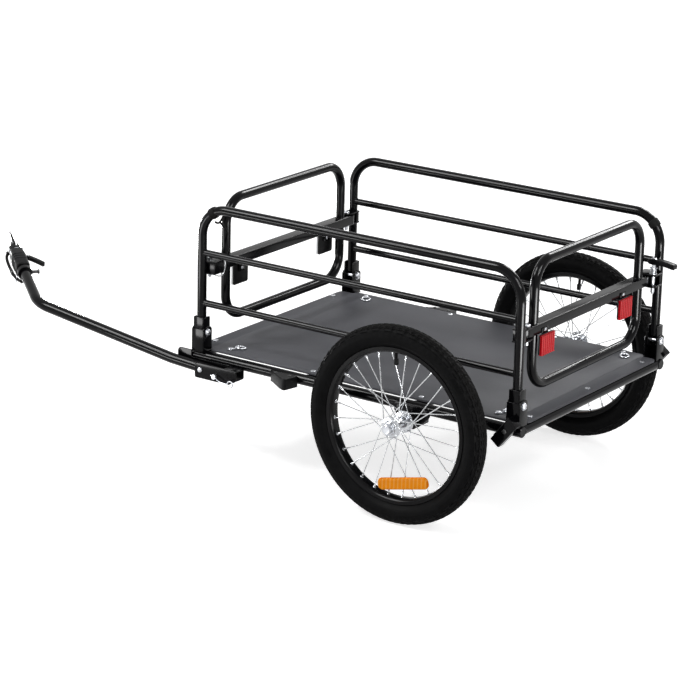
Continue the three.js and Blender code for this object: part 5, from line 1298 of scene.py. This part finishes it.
def seen_directly(tree):
    """1 for camera, glossy and transmission rays and 0 for the light that falls on surfaces."""
    path = node(tree, "ShaderNodeLightPath").outputs
    either = worked_out(tree, "MAXIMUM", path["Is Camera Ray"], path["Is Glossy Ray"])
    return worked_out(tree, "MAXIMUM", either, path["Is Transmission Ray"])


floor_mesh = bpy.data.meshes.new("floor")
corners = [(x * FLOOR_HALF, y * FLOOR_HALF, 0) for x, y in ((-1, -1), (1, -1), (1, 1), (-1, 1))]
floor_mesh.from_pydata(corners, [], [(0, 1, 2, 3)])
floor = bpy.data.objects.new("floor", floor_mesh)
bpy.context.scene.collection.objects.link(floor)
paper = bpy.data.materials.new("floor_paper")
paper.use_nodes = True
tree = paper.node_tree
tree.nodes.remove(tree.nodes["Principled BSDF"])
matt = node(tree, "ShaderNodeBsdfDiffuse", None, {"Color": (FLOOR_GREY, FLOOR_GREY, FLOOR_GREY, 1)})
glow = node(tree, "ShaderNodeEmission", None,
            {"Strength": worked_out(tree, "MULTIPLY", seen_directly(tree), FLOOR_LIFT)})
both = node(tree, "ShaderNodeAddShader", None, {0: matt.outputs[0], 1: glow.outputs[0]})
connect(tree, tree.nodes["Material Output"].inputs, {"Surface": both.outputs[0]})
floor_mesh.materials.append(paper)
floor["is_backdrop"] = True

world = bpy.data.worlds.new("studio")
bpy.context.scene.world = world
world.use_nodes = True
tree = world.node_tree
sky = tree.nodes["Background"].inputs
sky["Color"].default_value = (1, 1, 1, 1)
level = node(tree, "ShaderNodeMapRange", None,
             {0: seen_directly(tree), 1: 0.0, 2: 1.0, 3: WORLD_LIGHT, 4: WORLD_SEEN})
connect(tree, sky, {"Strength": level.outputs[0]})

# %% [markdown]
# A lamp that both lights and is mirrored would turn the black paint grey. So the work is shared out: small
# lamps light the matt surfaces and no surface mirrors them, while large soft boxes light nothing and are
# only mirrored. Three low strips stand below the level of the deck and draw a bright line along the tubes.
# The camera sees none.


# %% Lamps
def soft_lamp(name, place, target, wide, tall, watts, mirrored):
    """A flat lamp at place that faces target. It either lights matt surfaces or is mirrored in glossy ones."""
    data = bpy.data.lights.new(name, "AREA")
    data.shape, data.size, data.size_y, data.energy = "RECTANGLE", wide, tall, watts
    lamp = bpy.data.objects.new(name, data)
    away = np.asarray(place, float) - np.asarray(target, float)
    away /= np.linalg.norm(away)
    level = np.cross(Z, away)
    level /= np.linalg.norm(level)
    matrix = np.eye(4)
    matrix[:3] = np.stack([level, np.cross(away, level), away, place], 1)
    lamp.matrix_world = matrix.T.tolist()
    bpy.context.scene.collection.objects.link(lamp)
    lamp.visible_diffuse, lamp.visible_glossy, lamp.visible_camera = not mirrored, mirrored, False


LAMP_SIDE, STRIP_Z, STRIP_TALL = 0.6, 0.11, 0.2
# Each row: name, place, height of the target, watts of the lamp, side of the soft box and its watts.
for name, place, aim_z, watts, box, box_watts in (
    ("key", (-1.6, -2.2, 3.0), 0.25, 40, 1.7, 250),
    ("fill", (2.8, -1.0, 2.2), 0.25, 18, 1.3, 150),
    ("rim", (0.4, 3.0, 2.6), 0.3, 22, 1.4, 170),
):
    soft_lamp(name + "_lamp", place, (0, 0, aim_z), LAMP_SIDE, LAMP_SIDE, watts, False)
    soft_lamp(name + "_soft_box", place, (0, 0, aim_z), box, box, box_watts, True)
# Each row: name, place on the ground, where along the bed it aims, width and watts.
for name, (x, y), aim_x, wide, watts in (
    ("behind", (1.7, -0.4), 0.3, 0.7, 22),
    ("beside", (-0.62, -1.3), 0.3, 0.6, 8),
    ("ahead", (-1.4, 0.6), 0.0, 0.7, 18),
):
    soft_lamp("low_box_" + name, (x, y, STRIP_Z), (aim_x, 0, STRIP_Z), wide, STRIP_TALL, watts, True)
bpy.context.scene.view_settings.view_transform = "Standard"

# %% [markdown]
# ## Size
# The dressed model has to fill the same box as the solids. Both boxes are kept side by side.

# %% Size and end
boxes = {"cad": cad_box, "visual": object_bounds()}
json.loads(json.dumps(boxes, default=lambda value: np.asarray(value).tolist()))
